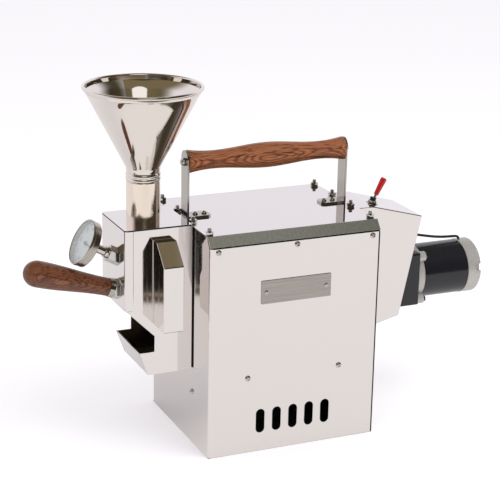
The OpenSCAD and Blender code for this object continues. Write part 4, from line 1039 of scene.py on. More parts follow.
@dataclass
class Studio:
    """White sweep, soft lamps and the surroundings that the polished sheet mirrors.

    Args:
        floor_size: Side of the floor.
        paper_tones: Colours of the paper and of the light that it adds for the eye.
        shade: Finish of the paper under the case, which no light reaches.
        seen_lift: Light that the floor adds for the eye, so that the paper shows white.
        mirrored_tone: Colour of the paper in the polished sheet.
        room_tone: Colour of the room's floor before the paper's end, in the polished sheet.
        share_depths: Places along Y, from before the object to far behind it.
        shares: How even the paper is there in the sheet; its shadows keep the rest.
        lamps: Name, place, side and power in watts of each lamp.
        aim: Where the lamps look.
        slit_corner: Plan of the corner between the case and the chamber, in metres.
        slit_way: Level direction from that corner to the eye.
        slit_far: Distance of the dark slit along it.
        slit_width: Width of the dark slit.
        slit_shift: Its shift to the right, as the view fans out.
        slit_rows: Heights and right edges of the slit, from its foot to its top.
        slit_tones: Colours of the brown below, of the pale table edge and of the dark.
        even: Colour and strength of the light on matt surfaces.
        front_tone: Colour of the dark room in front.
        room: Axis, start, end and colour of each further zone of the room, by direction; the
            ceiling's colours stand in their own field.
        ceiling: Colours of the ceiling from left to right: brown, a gray panel, then olive.
        panel_way: Direction of the white lamp panel that shows inside the funnel.
        panel_edge: Cosines between which that panel's edge lies.
        panel_power: Brightness of that panel.
    """

    floor_size: float = 9.0
    paper_tones: tuple[str, str] = ("f6f4f7", "fffdff")
    shade: Finish = Finish("shaded_paper", "2a2622", 0.9)
    seen_lift: float = 0.28
    mirrored_tone: str = "fbf9f7"
    room_tone: str = "4b3d26"
    share_depths: tuple[float, ...] = (-1.3, -1.1, -0.1, 0.03, 0.16, 0.5)
    shares: tuple[float, ...] = (1.0, 0.8, 0.8, 0.14, 0.14, 0.45)
    lamps: tuple[tuple[str, Point, float, float], ...] = (
        ("key", (0.7, -0.9, 1.5), 1.3, 12.0),
        ("fill", (-1.3, -0.9, 1.1), 1.2, 5.0),
    )
    aim: Point = (0.0, 0.0, 0.12)
    slit_corner: tuple[float, float] = (-0.0803, -0.033)
    slit_way: tuple[float, float] = (-0.4075, -0.9132)
    slit_far: float = 0.4
    slit_width: float = 0.07
    slit_shift: float = 0.015
    slit_rows: tuple[tuple[float, float], ...] = (
        (0.008, -0.01),
        (0.018, 0.0015),
        (0.0205, 0.0025),
        (0.05, 0.005),
        (0.25, 0.006),
    )
    slit_tones: tuple[str, ...] = ("4b3d26", "cfc6b4", "1d1a12")
    even: tuple[str, float] = ("fbfafc", 0.72)
    front_tone: str = "40382a"
    room: tuple[tuple[str, float, float, str], ...] = (
        ("Y", -0.35, 0.25, "f8f6fc"),
        ("Z", 0.5, 0.78, "ceiling"),
        ("Z", 0.955, 0.98, "3c3a30"),
    )
    ceiling: tuple[tuple[float, str], ...] = (
        (0.345, "7d7156"),
        (0.362, "a2a39f"),
        (0.41, "8d8f8a"),
        (0.46, "77756a"),
        (0.54, "4c4636"),
    )
    panel_way: Point = (-0.15, -0.78, 0.60)
    panel_edge: tuple[float, float] = (0.95, 0.96)
    panel_power: float = 1.1

    def build(self) -> None:
        """Makes the floor, the lamps, the dark slit by the lens and the world."""
        self.floor()
        for lamp in self.lamps:
            self.lamp(*lamp)
        self.dark_slit()
        self.world()

    def floor(self) -> None:
        """White floor: keeps the object's shadow and shows as white beyond it."""
        low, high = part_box("case_shell")
        half = self.floor_size / 2
        inner = [(low.x, low.y), (high.x, low.y), (high.x, high.y), (low.x, high.y)]
        outer = [(-half, -half), (half, -half), (half, half), (-half, half)]
        faces = [(i, (i + 1) % 4, 4 + (i + 1) % 4, 4 + i) for i in range(4)] + [(4, 5, 6, 7)]
        mesh = bpy.data.meshes.new("studio_floor")
        mesh.from_pydata([(x, y, 0) for x, y in outer + inner], [], faces)
        floor = link_mesh("studio_floor", mesh)
        mesh.materials.append(self.paper())
        mesh.materials.append(self.shade.material())
        mesh.polygons[4].material_index = 1

    def paper(self) -> bpy.types.Material:
        """White paper that keeps its shadows for the eye and is evener in the polished sheet."""
        material, tree = empty_material("white_sweep_paper")
        matt = add(tree, "ShaderNodeBsdfDiffuse", {"Color": linear(self.paper_tones[0])})
        rays = add(tree, "ShaderNodeLightPath").outputs
        direct = {0: from_lens(tree, rays), 1: self.seen_lift}
        lift = add(tree, "ShaderNodeMath", direct, operation="MULTIPLY")
        glow = {"Color": linear(self.paper_tones[1]), "Strength": lift}
        glow = add(tree, "ShaderNodeEmission", glow)
        seen = add(tree, "ShaderNodeAddShader", {0: matt, 1: glow})
        place = add(tree, "ShaderNodeTexCoord").outputs["Object"]
        depth = add(tree, "ShaderNodeSeparateXYZ", {"Vector": place}).outputs["Y"]
        first, last = self.share_depths[0], self.share_depths[-1]
        limits = {"From Min": first, "From Max": last, "Value": depth}
        depth = add(tree, "ShaderNodeMapRange", limits)
        places = [(y - first) / (last - first) for y in self.share_depths]
        ahead = add(tree, "ShaderNodeValToRGB", {"Fac": depth})
        set_ramp(ahead, [(at, gray(share)) for at, share in zip(places, self.shares)])
        tone = add(tree, "ShaderNodeValToRGB", {"Fac": depth})
        tones = zip(places, (self.room_tone, self.mirrored_tone))
        set_ramp(tone, [(at, linear(code)) for at, code in tones])
        even = add(tree, "ShaderNodeEmission", {"Color": tone})
        mirrored = {0: rays["Is Glossy Ray"], 1: ahead}
        share = add(tree, "ShaderNodeMath", mirrored, operation="MULTIPLY")
        both = add(tree, "ShaderNodeMixShader", {0: share, 1: seen, 2: even})
        add(tree, "ShaderNodeOutputMaterial", {"Surface": both})
        return material

    def lamp(self, name: str, place: Point, size: float, power: float) -> None:
        """One square lamp aimed at the object, out of sight of the polished sheet.

        Args:
            name: Name of the lamp.
            place: Where it hangs.
            size: Side of its panel.
            power: Power in watts.
        """
        data = bpy.data.lights.new(name, "AREA")
        data.shape = "SQUARE"
        data.size = size
        data.energy = power
        lamp = bpy.data.objects.new(name, data)
        bpy.context.scene.collection.objects.link(lamp)
        lamp.location = place
        lamp.rotation_mode = "QUATERNION"
        lamp.rotation_quaternion = (Vector(self.aim) - Vector(place)).to_track_quat("-Z", "Y")
        lamp.visible_glossy = False

    def dark_slit(self) -> None:
        """Dark slit beside the lens, which only mirrors see: the corner of the folded sheet throws
        the eye back there. Its foot is a pale table edge with brown below."""
        way = Vector((*self.slit_way, 0.0))
        side = Vector((-self.slit_way[1], self.slit_way[0], 0.0))
        foot = Vector((*self.slit_corner, 0.0)) + way * self.slit_far
        points = []
        for z, right in self.slit_rows:
            for x in (-self.slit_width, right):
                points.append(foot + side * (x + self.slit_shift) + Vector((0, 0, z)))
        count = len(self.slit_rows) - 1
        faces = [(2 * i, 2 * i + 1, 2 * i + 3, 2 * i + 2) for i in range(count)]
        mesh = bpy.data.meshes.new("eye_slit")
        mesh.from_pydata(points, [], faces)
        card = link_mesh("eye_slit", mesh)
        for tone in self.slit_tones:
            mesh.materials.append(self.twice_mirrored(tone))
        for i, face in enumerate(mesh.polygons):
            face.material_index = min(i, len(self.slit_tones) - 1)
        for kind in ("camera", "diffuse", "shadow", "transmission", "volume_scatter"):
            setattr(card, "visible_" + kind, False)

    def twice_mirrored(self, tone: str) -> bpy.types.Material:
        """Even surface of one tone that only the second of two mirrors sees."""
        material, tree = empty_material("studio_tone_" + tone)
        glow = add(tree, "ShaderNodeEmission", {"Color": linear(tone), "Strength": 1.0})
        clear = add(tree, "ShaderNodeBsdfTransparent")
        bounces = add(tree, "ShaderNodeLightPath").outputs["Glossy Depth"]
        twice = add(tree, "ShaderNodeMath", {0: bounces, 1: 1.5}, operation="GREATER_THAN")
        seen = add(tree, "ShaderNodeMixShader", {0: twice, 1: clear, 2: glow})
        add(tree, "ShaderNodeOutputMaterial", {"Surface": seen})
        return material

    def world(self) -> None:
        """White for the camera, even light for matt surfaces, and a studio with a bright back, a
        dark room in front and a gray ceiling for everything that shines."""
        world = bpy.data.worlds.new("studio")
        bpy.context.scene.world = world
        world.use_nodes = True
        tree = world.node_tree
        tree.nodes.clear()
        shiny = add(tree, "ShaderNodeBackground", {"Color": self.mirrored_room(tree)})
        even = {"Color": linear(self.even[0]), "Strength": self.even[1]}
        even = add(tree, "ShaderNodeBackground", even)
        white = add(tree, "ShaderNodeBackground", {"Color": gray(1.0)})
        rays = add(tree, "ShaderNodeLightPath").outputs
        first = add(tree, "ShaderNodeMixShader", {0: rays["Is Glossy Ray"], 1: even, 2: shiny})
        last = {0: from_lens(tree, rays), 1: first, 2: white}
        last = add(tree, "ShaderNodeMixShader", last)
        add(tree, "ShaderNodeOutputWorld", {"Surface": last})

    def mirrored_room(self, tree: Tree) -> Socket:
        """Colour of the room by direction, as the polished sheet shows it."""
        way = add(tree, "ShaderNodeTexCoord").outputs["Generated"]
        parts = add(tree, "ShaderNodeSeparateXYZ", {"Vector": way}).outputs
        ceiling = add(tree, "ShaderNodeValToRGB", {"Fac": parts["X"]})
        set_ramp(ceiling, [(at, linear(code)) for at, code in self.ceiling])
        room = linear(self.front_tone)
        for axis, start, end, code in self.room:
            limits = {"From Min": start, "From Max": end, "Value": parts[axis]}
            share = add(tree, "ShaderNodeMapRange", limits, interpolation_type="SMOOTHSTEP")
            zone = ceiling if code == "ceiling" else linear(code)
            blend = {0: share, 6: room, 7: zone}
            room = add(tree, "ShaderNodeMix", blend, data_type="RGBA").outputs[2]
        facing = {0: way, 1: tuple(Vector(self.panel_way).normalized())}
        aimed = add(tree, "ShaderNodeVectorMath", facing, operation="DOT_PRODUCT").outputs["Value"]
        low, high = self.panel_edge
        limits = {"From Min": low, "From Max": high, "Value": aimed}
        inside = add(tree, "ShaderNodeMapRange", limits)
        blend = {0: inside, 6: room, 7: gray(self.panel_power)}
        return add(tree, "ShaderNodeMix", blend, data_type="RGBA").outputs[2]


@dataclass(frozen=True)
class Viewpoint:
    """Camera at the photograph's angle.

    Args:
        place: Where it stands.
        azimuth: Angle of its view from +Y, in degrees.
        elevation: Angle above level, in degrees.
        roll: Turn about its own axis, in degrees.
        lens: Focal length in mm.
        sensor: Width of its sensor in mm.
        clip: Nearest and farthest that it sees, in metres.
    """

    place: Point = (-0.590225, -1.302946, 0.629477)
    azimuth: float = -24.048
    elevation: float = 17.684
    roll: float = 1.161
    lens: float = 112.63
    sensor: float = 36.0
    clip: tuple[float, float] = (0.05, 40.0)

    def build(self) -> None:
        """Makes the camera and the scene's view settings."""
        data = bpy.data.cameras.new("view")
        data.lens = self.lens
        data.sensor_width = self.sensor
        data.clip_start, data.clip_end = self.clip
        camera = bpy.data.objects.new("view", data)
        bpy.context.scene.collection.objects.link(camera)
        a, e = math.radians(self.azimuth), math.radians(self.elevation)
        back = Vector((math.sin(a) * math.cos(e), -math.cos(a) * math.cos(e), math.sin(e)))
        level = Vector((math.cos(a), math.sin(a), 0.0))
        upward = back.cross(level)
        r = math.radians(self.roll)
        right = level * math.cos(r) + upward * math.sin(r)
        up = upward * math.cos(r) - level * math.sin(r)
        turn = Matrix((right, up, back)).transposed().to_4x4()
        camera.matrix_world = Matrix.Translation(self.place) @ turn
        bpy.context.scene.camera = camera
        bpy.context.scene.view_settings.view_transform = "Standard"


# ---- sub-assemblies ----


def low_mm(node: str) -> Vector:
    """Lowest corner of a CAD node in millimetres."""
    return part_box(node)[0] / MM


def high_mm(node: str) -> Vector:
    """Highest corner of a CAD node in millimetres."""
    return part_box(node)[1] / MM


class SheetSide(IntEnum):
    """Material number of a face of folded sheet, by what it shows."""

    MIRROR = 0
    SATIN = 1
    INSIDE = 2


def by_side(node: str) -> Callable[[Face], int]:
    """Sorts a hollow box's faces: satin to the sides, mirror elsewhere, and painted shade on the
    faces within.

    Args:
        node: CAD node whose own mesh tells what is within: a face there looks at another wall.

    Returns:
        A function that gives a face its material number.
    """
    data = frame["nodes"][node].data
    corners, faces = [v.co for v in data.vertices], [f.vertices for f in data.polygons]
    walls = BVHTree.FromPolygons(corners, faces)

    def side(face: Face) -> int:
        """Material number of a face."""
        start = face.calc_center_median() + face.normal * OFF_FACE
        if walls.ray_cast(start, face.normal)[0] is not None:
            # A face that looks at another wall is in shade: it gets the painted shade finish.
            return SheetSide.INSIDE
        return SheetSide.SATIN if abs(face.normal.y) > 0.9 else SheetSide.MIRROR

    return side


@dataclass
class Case:
    """Case with its cover, rear plate, fasteners and name plate.

    Args:
        rear_rounding: Rounding of the rear plate, whose cut edges stay sharp.
        plate_rounding: Rounding of the name plate's edges.
        skin: Depth within which a face of the rear plate counts as its outer face, in mm.
    """

    rear_rounding: EdgeRounding = EdgeRounding(edge_mm=0.08)
    plate_rounding: EdgeRounding = EdgeRounding(0.4, 0.25)
    skin: float = 0.5

    def build(self) -> None:
        """Makes the sheet pieces, then the hardware."""
        # Faces within the case are painted near black: painted shade.
        hollow = [SHEET, SATIN, BLACK_SHADE_INSIDE]
        soften("case_shell", "case_shell_sheet", hollow, face_side=by_side("case_shell"))
        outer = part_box("rear_plate")[1].x - self.skin * MM

        def plate_or_shaded_edge(face: Face) -> int:
            """0 on the rear plate's outer face, 1 on its cut edges and within, which are painted
            near black as the shadow of the seam beside the case's panel.
            """
            return 0 if face.normal.x > 0.5 and face.calc_center_median().x > outer else 1

        def top_strip_or_shaded_underside(face: Face) -> int:
            """Mirror on top of the cover, brushed on its two sloping strips, painted shade below."""
            if face.normal.z < -0.2:
                return SheetSide.INSIDE
            slopes = face.normal.z < 0.95 and abs(face.normal.y) > 0.3
            return SheetSide.SATIN if slopes else SheetSide.MIRROR

        finishes = [SHEET, BLACK_SHADE_INSIDE]
        # The rear plate's cut edges carry painted shadow: a dark line in the seam.
        soften("rear_plate", "rear_plate_sheet", finishes, self.rear_rounding, plate_or_shaded_edge)
        soften("top_cover", "top_cover_sheet", [SHEET, STRIP, BLACK_SHADE_INSIDE], face_side=top_strip_or_shaded_underside)
        soften("name_plate", "name_plate_etched", [PLATE], self.plate_rounding)
        self.screws()
        self.studs()

    def screws(self) -> None:
        """Button screws of the case and the small screws of the name plate."""
        low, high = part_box("case_screws")
        places = []
        for box in island_boxes("case_screws"):
            size = box[1] - box[0]
            across = max(range(3), key=lambda i: size[i])
            is_high = high[across] - box[1][across] < box[0][across] - low[across]
            places.append(foot_of(box, across, 1 if is_high else -1, BUTTON_SCREW.head * MM))
        BUTTON_SCREW.stand(places, "case_screws", "case_button_screws", 3)
        rivets = island_boxes("name_plate_screws")
        places = [foot_of(box, 1, -1, PLATE_RIVET.head * MM) for box in rivets]
        PLATE_RIVET.stand(places, "name_plate_screws", "name_plate_rivets", 5)

    def studs(self) -> None:
        """Threaded studs and their nuts on the cover."""
        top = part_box("top_cover")[1].z
        middles = [(low + high) / 2 for low, high in island_boxes("cover_nuts")]
        feet = [((middle.x, middle.y, top), UP) for middle in middles]
        COVER_NUT.stand(feet, "cover_nuts", "cover_hex_nuts", 11)
        COVER_STUD.stand(feet, "cover_studs", "cover_threaded_studs", 12)


@dataclass
class Handle:
    """Carrying handle: two legs, a turned grip on its tie rod, and the nuts.

    Args:
        waist_r: Radius of the grip at its waists.
        middle_r: Radius of the grip at its middle.
        end_r: Radius of the grip at its ends.
        bore_r: Radius of its bore.
        waist_at: Share of the half length where the waist is.
        lip: Rounding of the grip's end edges.
        skin: How far the grip's body stays within the CAD grip.
        steps: Rings along the grip.
        around: Steps round it.
        leg_rounding: Rounding of the legs' edges.
    """

    waist_r: float = 8.6
    middle_r: float = 12.0
    end_r: float = 11.0
    bore_r: float = 2.7
    waist_at: float = 0.68
    lip: float = 0.9
    skin: float = 0.03
    steps: int = 56
    around: int = 64
    leg_rounding: EdgeRounding = EdgeRounding(0.5, 0.3, edge_length_mm=1.2)

    def build(self) -> None:
        """Makes the grip, the legs and their hardware."""
        self.grip()
        for node in ("handle_leg_front", "handle_leg_rear"):
            soften(node, node + "_bar", [LEG], self.leg_rounding)
        screws = island_boxes("foot_screws")
        feet = [foot_of(box, 2, 1, BUTTON_SCREW.head * MM) for box in screws]
        BUTTON_SCREW.stand(feet, "foot_screws", "foot_button_screws", 7)
        ends = []
        for low, high in island_boxes("handle_nuts"):
            away = -1 if low.x + high.x < 0 else 1
            ends.append(foot_of((low, high), 0, away, high.x - low.x))
        DOME_NUT.stand(ends, "handle_nuts", "handle_dome_nuts", 9)

    def radius(self, share: float) -> float:
        """Radius at a place from -1 to 1 along the grip."""
        out = abs(share)
        if out < self.waist_at:
            swell = (1 + math.cos(math.pi * out / self.waist_at)) / 2
            return self.waist_r + (self.middle_r - self.waist_r) * swell
        rest = (out - self.waist_at) / (1 - self.waist_at)
        return self.waist_r + (self.end_r - self.waist_r) * rest**2

    def grip(self) -> None:
        """Turned grip with slightly rounded end edges."""
        low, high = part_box("handle_grip")
        half, end_r = (high.x - low.x) / MM / 2, self.radius(1)
        places = [-1 + 2 * i / self.steps for i in range(self.steps + 1)]
        body = [(self.radius(at) - self.skin, at * (half - self.lip)) for at in places]
        end = arc((end_r - self.lip, half - self.lip), (self.lip, self.lip), (30, 60, 90))
        end += [(end_r * 0.5, half), (self.bore_r, half)]
        start = [(r, -z) for r, z in reversed(end)]
        middle = (low + high) / 2
        place = along(middle, (1, 0, 0))
        piece = turned(start + body + end, place, "turned_grip", self.around, True)
        wood = OiledWood("oiled_rosewood_grip", "9c5d38", 0.36, centre=tuple(middle))
        dress_piece(piece, "handle_grip", [wood])


@dataclass
class Chamber:
    """Front chamber with its tray, its gate pull and its lid.

    Args:
        sheet: Thickness of its sheet.
        rounding: Rounding of the folded edges.
        lid_rounding: Rounding of the lid's thinner edges.
    """

    sheet: float = 1.0
    rounding: EdgeRounding = EdgeRounding(bend_mm=0.9)
    lid_rounding: EdgeRounding = EdgeRounding(0.2, 0.15)

    def build(self) -> None:
        """Makes the folded pieces, with painted shade on the faces within."""
        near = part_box("chamber_side_near")[0].y + self.sheet * MM
        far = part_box("chamber_side_far")[1].y - self.sheet * MM
        pull_low, pull_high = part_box("gate_pull")

        def wall(face: Face) -> int:
            """Painted brown shade on faces that look into the chamber, satin to the sides, mirror
            elsewhere.
            """
            normal = face.normal
            looks_in = abs(normal.y) > 0.7 or normal.x > 0.3 or normal.z < -0.3
            if looks_in and near < face.calc_center_median().y < far:
                return SheetSide.INSIDE
            return SheetSide.SATIN if abs(normal.y) > 0.9 else SheetSide.MIRROR

        def tray(face: Face) -> int:
            """Painted brown shade where the beans run, mirror on the outer faces."""
            normal = face.normal
            looks_out = normal.z < -0.6 or (normal.x < -0.6 and normal.z < 0.1)
            return SheetSide.MIRROR if looks_out else SheetSide.INSIDE

        def pull(face: Face) -> int:
            """Satin on the pull's broad face, painted brown shade within, mirror on its hood."""
            centre, normal = face.calc_center_median(), face.normal
            if normal.y < -0.9 and centre.y < pull_low.y + self.sheet / 2 * MM:
                return SheetSide.SATIN
            inward = centre + normal * 2 * self.sheet * MM
            inside = all(pull_low[i] < inward[i] < pull_high[i] for i in range(3))
            return SheetSide.INSIDE if inside and abs(normal.x) > 0.9 else SheetSide.MIRROR

        def lid(face: Face) -> int:
            """0 on top, 1 on its rim and groove, painted black as the shade of the gap round the
            lid.
            """
            return 1 if face.normal.z < 0.5 else 0

        folded = [SHEET, SATIN, BROWN_SHADE_INSIDE]
        for node in ("chamber_side_near", "chamber_side_far", "chamber_front"):
            soften(node, node + "_sheet", folded, self.rounding, wall)
        soften("chute_tray", "chute_tray_sheet", folded, self.rounding, tray)
        # The lid's rim and groove are painted black: painted shade of the gap round the lid.
        soften("chamber_lid", "chamber_lid_sheet", [SHEET, RUBBER], self.lid_rounding, lid)
        soften("gate_pull", "gate_pull_sheet", folded, self.rounding, pull)


@dataclass
class Hopper:
    """Hopper tube and the loose funnel that stands in it.

    Args:
        tube_r: Outer radius of the tube.
        tube_wall: Wall of the tube.
        spout_gap: How much the spout is narrower than the tube, in radius.
        bead_r: Radius of the neck's beads.
        bead_at: Heights of the beads over the tube.
        neck_h: Height of the neck.
        cone_h: Height of the cone.
        cone_r: Radius at the top of the cone.
        band_h: Height of the band under the rim.
        rim_r: Radius of the rolled rim.
        wall: Wall of the funnel.
        steps: Steps round the axis.
    """

    tube_r: float = 15.8
    tube_wall: float = 1.0
    spout_gap: float = 1.32
    bead_r: float = 16.2
    bead_at: tuple[float, ...] = (2.2, 6.0)
    neck_h: float = 12.5
    cone_h: float = 69.0
    cone_r: float = 51.8
    band_h: float = 5.0
    rim_r: float = 1.7
    wall: float = 0.8
    steps: int = 144

    def build(self) -> None:
        """Makes the spun funnel and the drawn tube."""
        low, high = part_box("hopper_tube")
        place = Matrix.Translation(((low.x + high.x) / 2, (low.y + high.y) / 2, 0))
        funnel = turned(self.funnel(), place, "spun_funnel", self.steps, True)
        dress_piece(funnel, "funnel", [FUNNEL])
        z0, z1 = low.z / MM, high.z / MM
        r, bore = self.tube_r - SKIN, self.tube_r - self.tube_wall
        profile = [(bore, z0), (r, z0), (r, z1 - 0.3), (r - 0.28, z1 - SKIN)]
        profile += [(bore + 0.1, z1 - SKIN), (bore, z1 - 0.2)]
        tube = turned(profile, place, "drawn_tube", self.steps, True)
        dress_piece(tube, "hopper_tube", [TUBE])

    def funnel(self) -> Outline:
        """Outline of the spun funnel: spout, beads, cone, band and rolled rim, and back within."""
        low, z0 = low_mm("funnel").z, high_mm("hopper_tube").z
        z1 = z0 + self.neck_h
        z2 = z1 + self.cone_h
        z3 = z2 + self.band_h
        b, t, spout = self.bead_r, self.wall, self.tube_r - self.spout_gap
        outline = [(spout, low), (spout, z0 + SKIN), (b - 1.2, z0 + SKIN)]
        outline += [(b - 1.25, z0 + 0.55), (b - 0.6, z0 + 0.6)]
        for middle in self.bead_at:
            outline += arc((b - 0.8, z0 + middle), (0.78, 1.6), range(-75, 76, 25))
        outline += [(b - 0.7, z0 + 8.3), (b - 0.4, z0 + 8.8), (b - 0.35, z1 - 0.5)]
        outline += [(b - 0.1, z1 + 0.3), (b + 0.45, z1 + 1.5)]
        outline += self.cone(b + 0.45, z1 + 1.5, z2)
        band = self.cone_r + 0.97
        outline += [(self.cone_r + 0.9, z2 + 1.0), (band, z2 + 2), (band, z3 - 1.2)]
        inner, rim = self.cone_r + 1 - t, self.rim_r - SKIN
        outline += arc((inner + self.rim_r, z3), (rim, rim), range(-130, 200, 20))
        outline += [(inner, z3 - 1.0), (inner, z2 + 1 + t / 2)]
        inside = self.cone(spout - t + 0.2, z1 + t + 0.4, z2 + t)
        outline += [(r - t, z) for r, z in reversed(inside)]
        return outline + [(spout - t, z1 + t), (spout - t, z1 - 4), (spout - t, low)]

    def cone(self, start_r: float, start_z: float, end_z: float) -> Outline:
        """Rings of the cone from its foot to its top."""
        rise, widen = end_z - start_z, self.cone_r - SKIN - start_r
        return [(start_r + widen * i / 9, start_z + rise * i / 9) for i in range(1, 10)]


@dataclass
class Thermometer:
    """Dial thermometer on the chamber's front.

    Args:
        tilt: Tilt of its axis above level, in degrees.
        back_out: Distance from the chamber to the back of the case, along the axis.
        face_out: Distance from the chamber to the card.
        radius: Radius of the case.
        depth: Depth of the case.
        around: Steps round the case.
        top_value: Highest number on the card.
        numbers: Numbers on the card after the zero.
        number_size: Height of the numbers.
        number_in: How far the numbers stand within the case's radius.
        strokes: Number of strokes on the card.
        every: Every so many of them is longer.
        stroke: How far the strokes stand within the case's radius, their length and width.
        ink_out: How far the strokes and the numbers lie over the card.
        start: Angle of the first stroke in degrees.
        sweep: Angle of the whole scale in degrees.
        fitting_rounding: Rounding of the fitting's edges.
    """

    tilt: float = 28.0
    back_out: float = 29.5
    face_out: float = 33.5
    radius: float = 22.0
    depth: float = 9.0
    around: int = 96
    top_value: int = 300
    numbers: int = 6
    number_size: float = 3.6
    number_in: float = 7.4
    strokes: int = 61
    every: int = 5
    stroke: Point = (2.6, 1.5, 0.28)
    ink_out: tuple[float, float] = (0.05, 0.06)
    start: float = -90.0
    sweep: float = -270.0
    fitting_rounding: EdgeRounding = EdgeRounding(0.5, 0.35, edge_length_mm=1.5)

    def build(self) -> None:
        """Makes the case with its bezel, the card's print and the fitting."""
        self.case()
        self.scale()
        self.print_numbers()
        finishes = [FASTENER]
        soften("thermo_fitting", "thermo_hex_fitting", finishes, self.fitting_rounding)

    def frame(self, out: float) -> Matrix:
        """Frame on the thermometer's axis, some millimetres out of the chamber's front."""
        turn = math.radians(self.tilt)
        axis = Vector((-math.cos(turn), 0, math.sin(turn)))
        joints = frame["record"]["behaviour"]["joints"]
        root = Vector(next(joint["pos_m"] for joint in joints if joint["name"] == "needle_turn"))
        return along(root + axis * out * MM, tuple(axis))

    def case(self) -> None:
        """Cup and rolled bezel."""
        r, d = self.radius - SKIN, self.depth
        cup = ((2.2, SKIN), (1.2, 0.3), (0.4, 1.0), (0.3, 1.6), (0.3, d - 3.0), (0.1, d - 2.8))
        bezel = ((0, 2.4), (0, 0.9), (0.15, 0.35), (0.5, 0.08), (0.9, 0.1), (1.45, 0.5))
        profile = [(0.05, SKIN), *((r - less, z) for less, z in cup)]
        profile += [(r - less, d - down) for less, down in bezel]
        profile += [(r - 1.55, d - 0.9), (r - 1.55, 3.05), (0.05, 3.05)]
        piece = turned(profile, self.frame(self.back_out), "rolled_dial_case", self.around, False)
        dress_piece(piece, "thermo_case", [BEZEL])

    def scale(self) -> None:
        """Strokes of the scale, printed on the card."""
        base = bpy.data.meshes.new("scale_base")
        inset, length, width = self.stroke
        values = {
            "Strokes": self.strokes,
            "Every": self.every,
            "Radius": (self.radius - inset) * MM,
            "Length": length * MM,
            "Width": width * MM,
            "Start": math.radians(self.start),
            "Sweep": math.radians(self.sweep),
            "Finish": INK.material(),
        }
        place = self.frame(self.face_out + self.ink_out[0])
        piece = run_group(scale_group(), base, values, "dial_scale_print", place)
        dress_piece(piece, "thermo_dial", [INK], replace=False)

    def print_numbers(self) -> None:
        """Numbers of the scale, each upright as seen from the middle."""
        shape = bmesh.new()
        for i in range(self.numbers + 1):
            angle = math.radians(self.start + self.sweep * i / self.numbers)
            curve = bpy.data.curves.new("number", "FONT")
            curve.body = str(self.top_value * i // self.numbers)
            curve.size = self.number_size * MM
            curve.align_x = "CENTER"
            curve.align_y = "CENTER"
            flat = plain_mesh(link_mesh("number", curve), "number")
            out = (self.radius - self.number_in) * MM
            spot = Matrix.Translation((out * math.cos(angle), out * math.sin(angle), 0))
            flat.transform(spot @ Matrix.Rotation(angle - math.pi / 2, 4, "Z"))
            shape.from_mesh(flat)
        place = self.frame(self.face_out + self.ink_out[1])
        bmesh.ops.transform(shape, matrix=place, verts=shape.verts)
        mesh = bpy.data.meshes.new("dial_numbers_print")
        shape.to_mesh(mesh)
        shape.free()
        dress_piece(link_mesh("dial_numbers_print", mesh), "thermo_dial", [INK], replace=False)


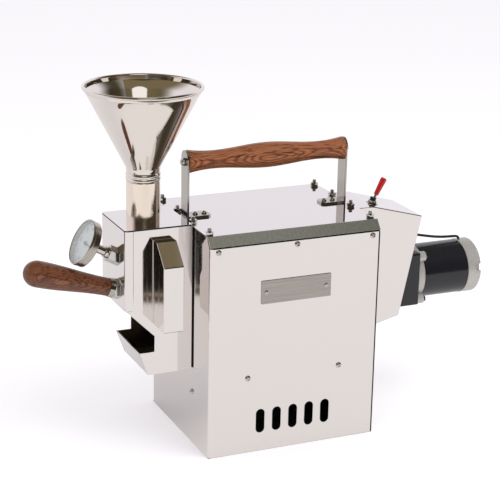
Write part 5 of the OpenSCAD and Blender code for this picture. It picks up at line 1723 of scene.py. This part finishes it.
@dataclass
class Sampler:
    """Sampler: turned wooden grip and hexagonal socket.

    Args:
        tilt: Tilt of its axis above level, in degrees.
        length: Length of the grip.
        neck_r: Radius at the ferrule.
        wide_r: Largest radius.
        bore_r: Radius of the ferrule's seat.
        widest_at: Share of the length where the neck has opened out.
        nose_share: Length of the round nose, in largest radii.
        steps: Rings along the grip.
        around: Steps round it.
        socket_rounding: Rounding of the socket's edges.
    """

    tilt: float = 17.0
    length: float = 82.5
    neck_r: float = 8.4
    wide_r: float = 12.2
    bore_r: float = 5.2
    widest_at: float = 0.84
    nose_share: float = 1.05
    steps: int = 36
    around: int = 64
    socket_rounding: EdgeRounding = EdgeRounding(0.45, 0.3, edge_length_mm=1.5)

    def build(self) -> None:
        """Makes the grip and rounds the socket."""
        self.grip()
        soften("sampler_socket", "sampler_hex_socket", [FASTENER], self.socket_rounding)

    def radius(self, share: float) -> float:
        """Radius at a share of the length."""
        opened = (1 - math.cos(math.pi * min(1.0, share / self.widest_at))) / 2
        return self.neck_r + (self.wide_r - self.neck_r) * opened

    def grip(self) -> None:
        """Turned grip with a round nose, its foot found from the box of the CAD grip."""
        turn = math.radians(self.tilt)
        low, high = low_mm("sampler_grip"), high_mm("sampler_grip")
        centre = (low + high) / 2
        foot_x = high.x - self.neck_r * math.sin(turn)
        foot_z = low.z + self.neck_r * math.cos(turn)
        axis = Vector((-math.cos(turn), 0, math.sin(turn)))
        place = along(Vector((foot_x, centre.y, foot_z)) * MM, tuple(axis))
        nose = self.wide_r * self.nose_share
        body = self.length - nose
        profile = [(self.bore_r, SKIN), (self.neck_r - 0.5, SKIN), (self.neck_r - 0.1, 0.3)]
        for i in range(1, self.steps + 1):
            z = body * i / self.steps
            profile.append((self.radius(z / self.length) - SKIN, z))
        profile += arc((0, body), (profile[-1][0], nose - 0.05), range(8, 91, 7))
        profile.append((0.05, self.length - 0.04))
        piece = turned(profile, place, "turned_sampler_grip", self.around, False)
        look = {"centre": tuple(centre * MM), "tilt": self.tilt, "dark": "4c2816", "pale": "855232"}
        wood = OiledWood("oiled_rosewood_sampler", "744329", 0.32, **look)
        dress_piece(piece, "sampler_grip", [wood])


@dataclass
class Rear:
    """Rear housing, motor and toggle switch.

    Args:
        cast: Rounding of the castings' edges.
        edged: Nodes whose edges are rounded so, with their finishes.
    """

    cast: EdgeRounding = EdgeRounding(0.7, 0.5, edge_length_mm=1.2)
    edged: tuple[tuple[str, Finish], ...] = (
        ("gearbox", ENAMEL),
        ("motor_flange", CASTING),
        ("motor_can", ENAMEL),
        ("motor_end_cap", CASTING),
        ("toggle_nut", FASTENER),
        ("toggle_sleeve", VINYL),
    )

    def build(self) -> None:
        """Makes the housing, the castings, the can, the lead and the switch."""
        # Faces within the housing are painted near black: painted shade.
        hollow = [SHEET, SATIN, BLACK_SHADE_INSIDE]
        soften("rear_housing", "rear_housing_sheet", hollow, face_side=by_side("rear_housing"))
        for node, finish in self.edged:
            soften(node, node + "_edged", [finish], self.cast)
        self.lead()

    def lead(self) -> None:
        """Motor's lead: the CAD route, smoothed."""
        mesh, shape = cad_shape("motor_lead")
        for face in shape.faces:
            face.smooth = True
        shape.to_mesh(mesh)
        shape.free()
        holder = link_mesh("lead_holder", mesh)
        holder.modifiers.new("smooth", "SUBSURF").levels = 2
        piece = link_mesh("smooth_lead", plain_mesh(holder, "smooth_lead"))
        dress_piece(piece, "motor_lead", [RUBBER])


class CarriedOver:
    """CAD nodes whose shape is right as it is: each gets the finish of its slot."""

    def build(self) -> None:
        """Gives every CAD node that still shows its finish."""
        for node, shown in sorted(frame["nodes"].items()):
            if shown.hide_render:
                continue
            finish = FINISH_OF_SLOT[slot_of_node(node)]
            shown.data.materials.clear()
            shown.data.materials.append(finish.material())
            LOG.info("%s: %s", node, finish.name)


def main() -> None:
    """Builds the studio, the camera and every piece, and reports each through the log."""
    logging.basicConfig(level=logging.INFO, format="%(name)s %(message)s")
    Viewpoint().build()
    Studio().build()
    for assembly in (Case(), Handle(), Chamber(), Hopper(), Thermometer(), Sampler(), Rear()):
        assembly.build()
    CarriedOver().build()


if __name__ == "__main__":
    main()
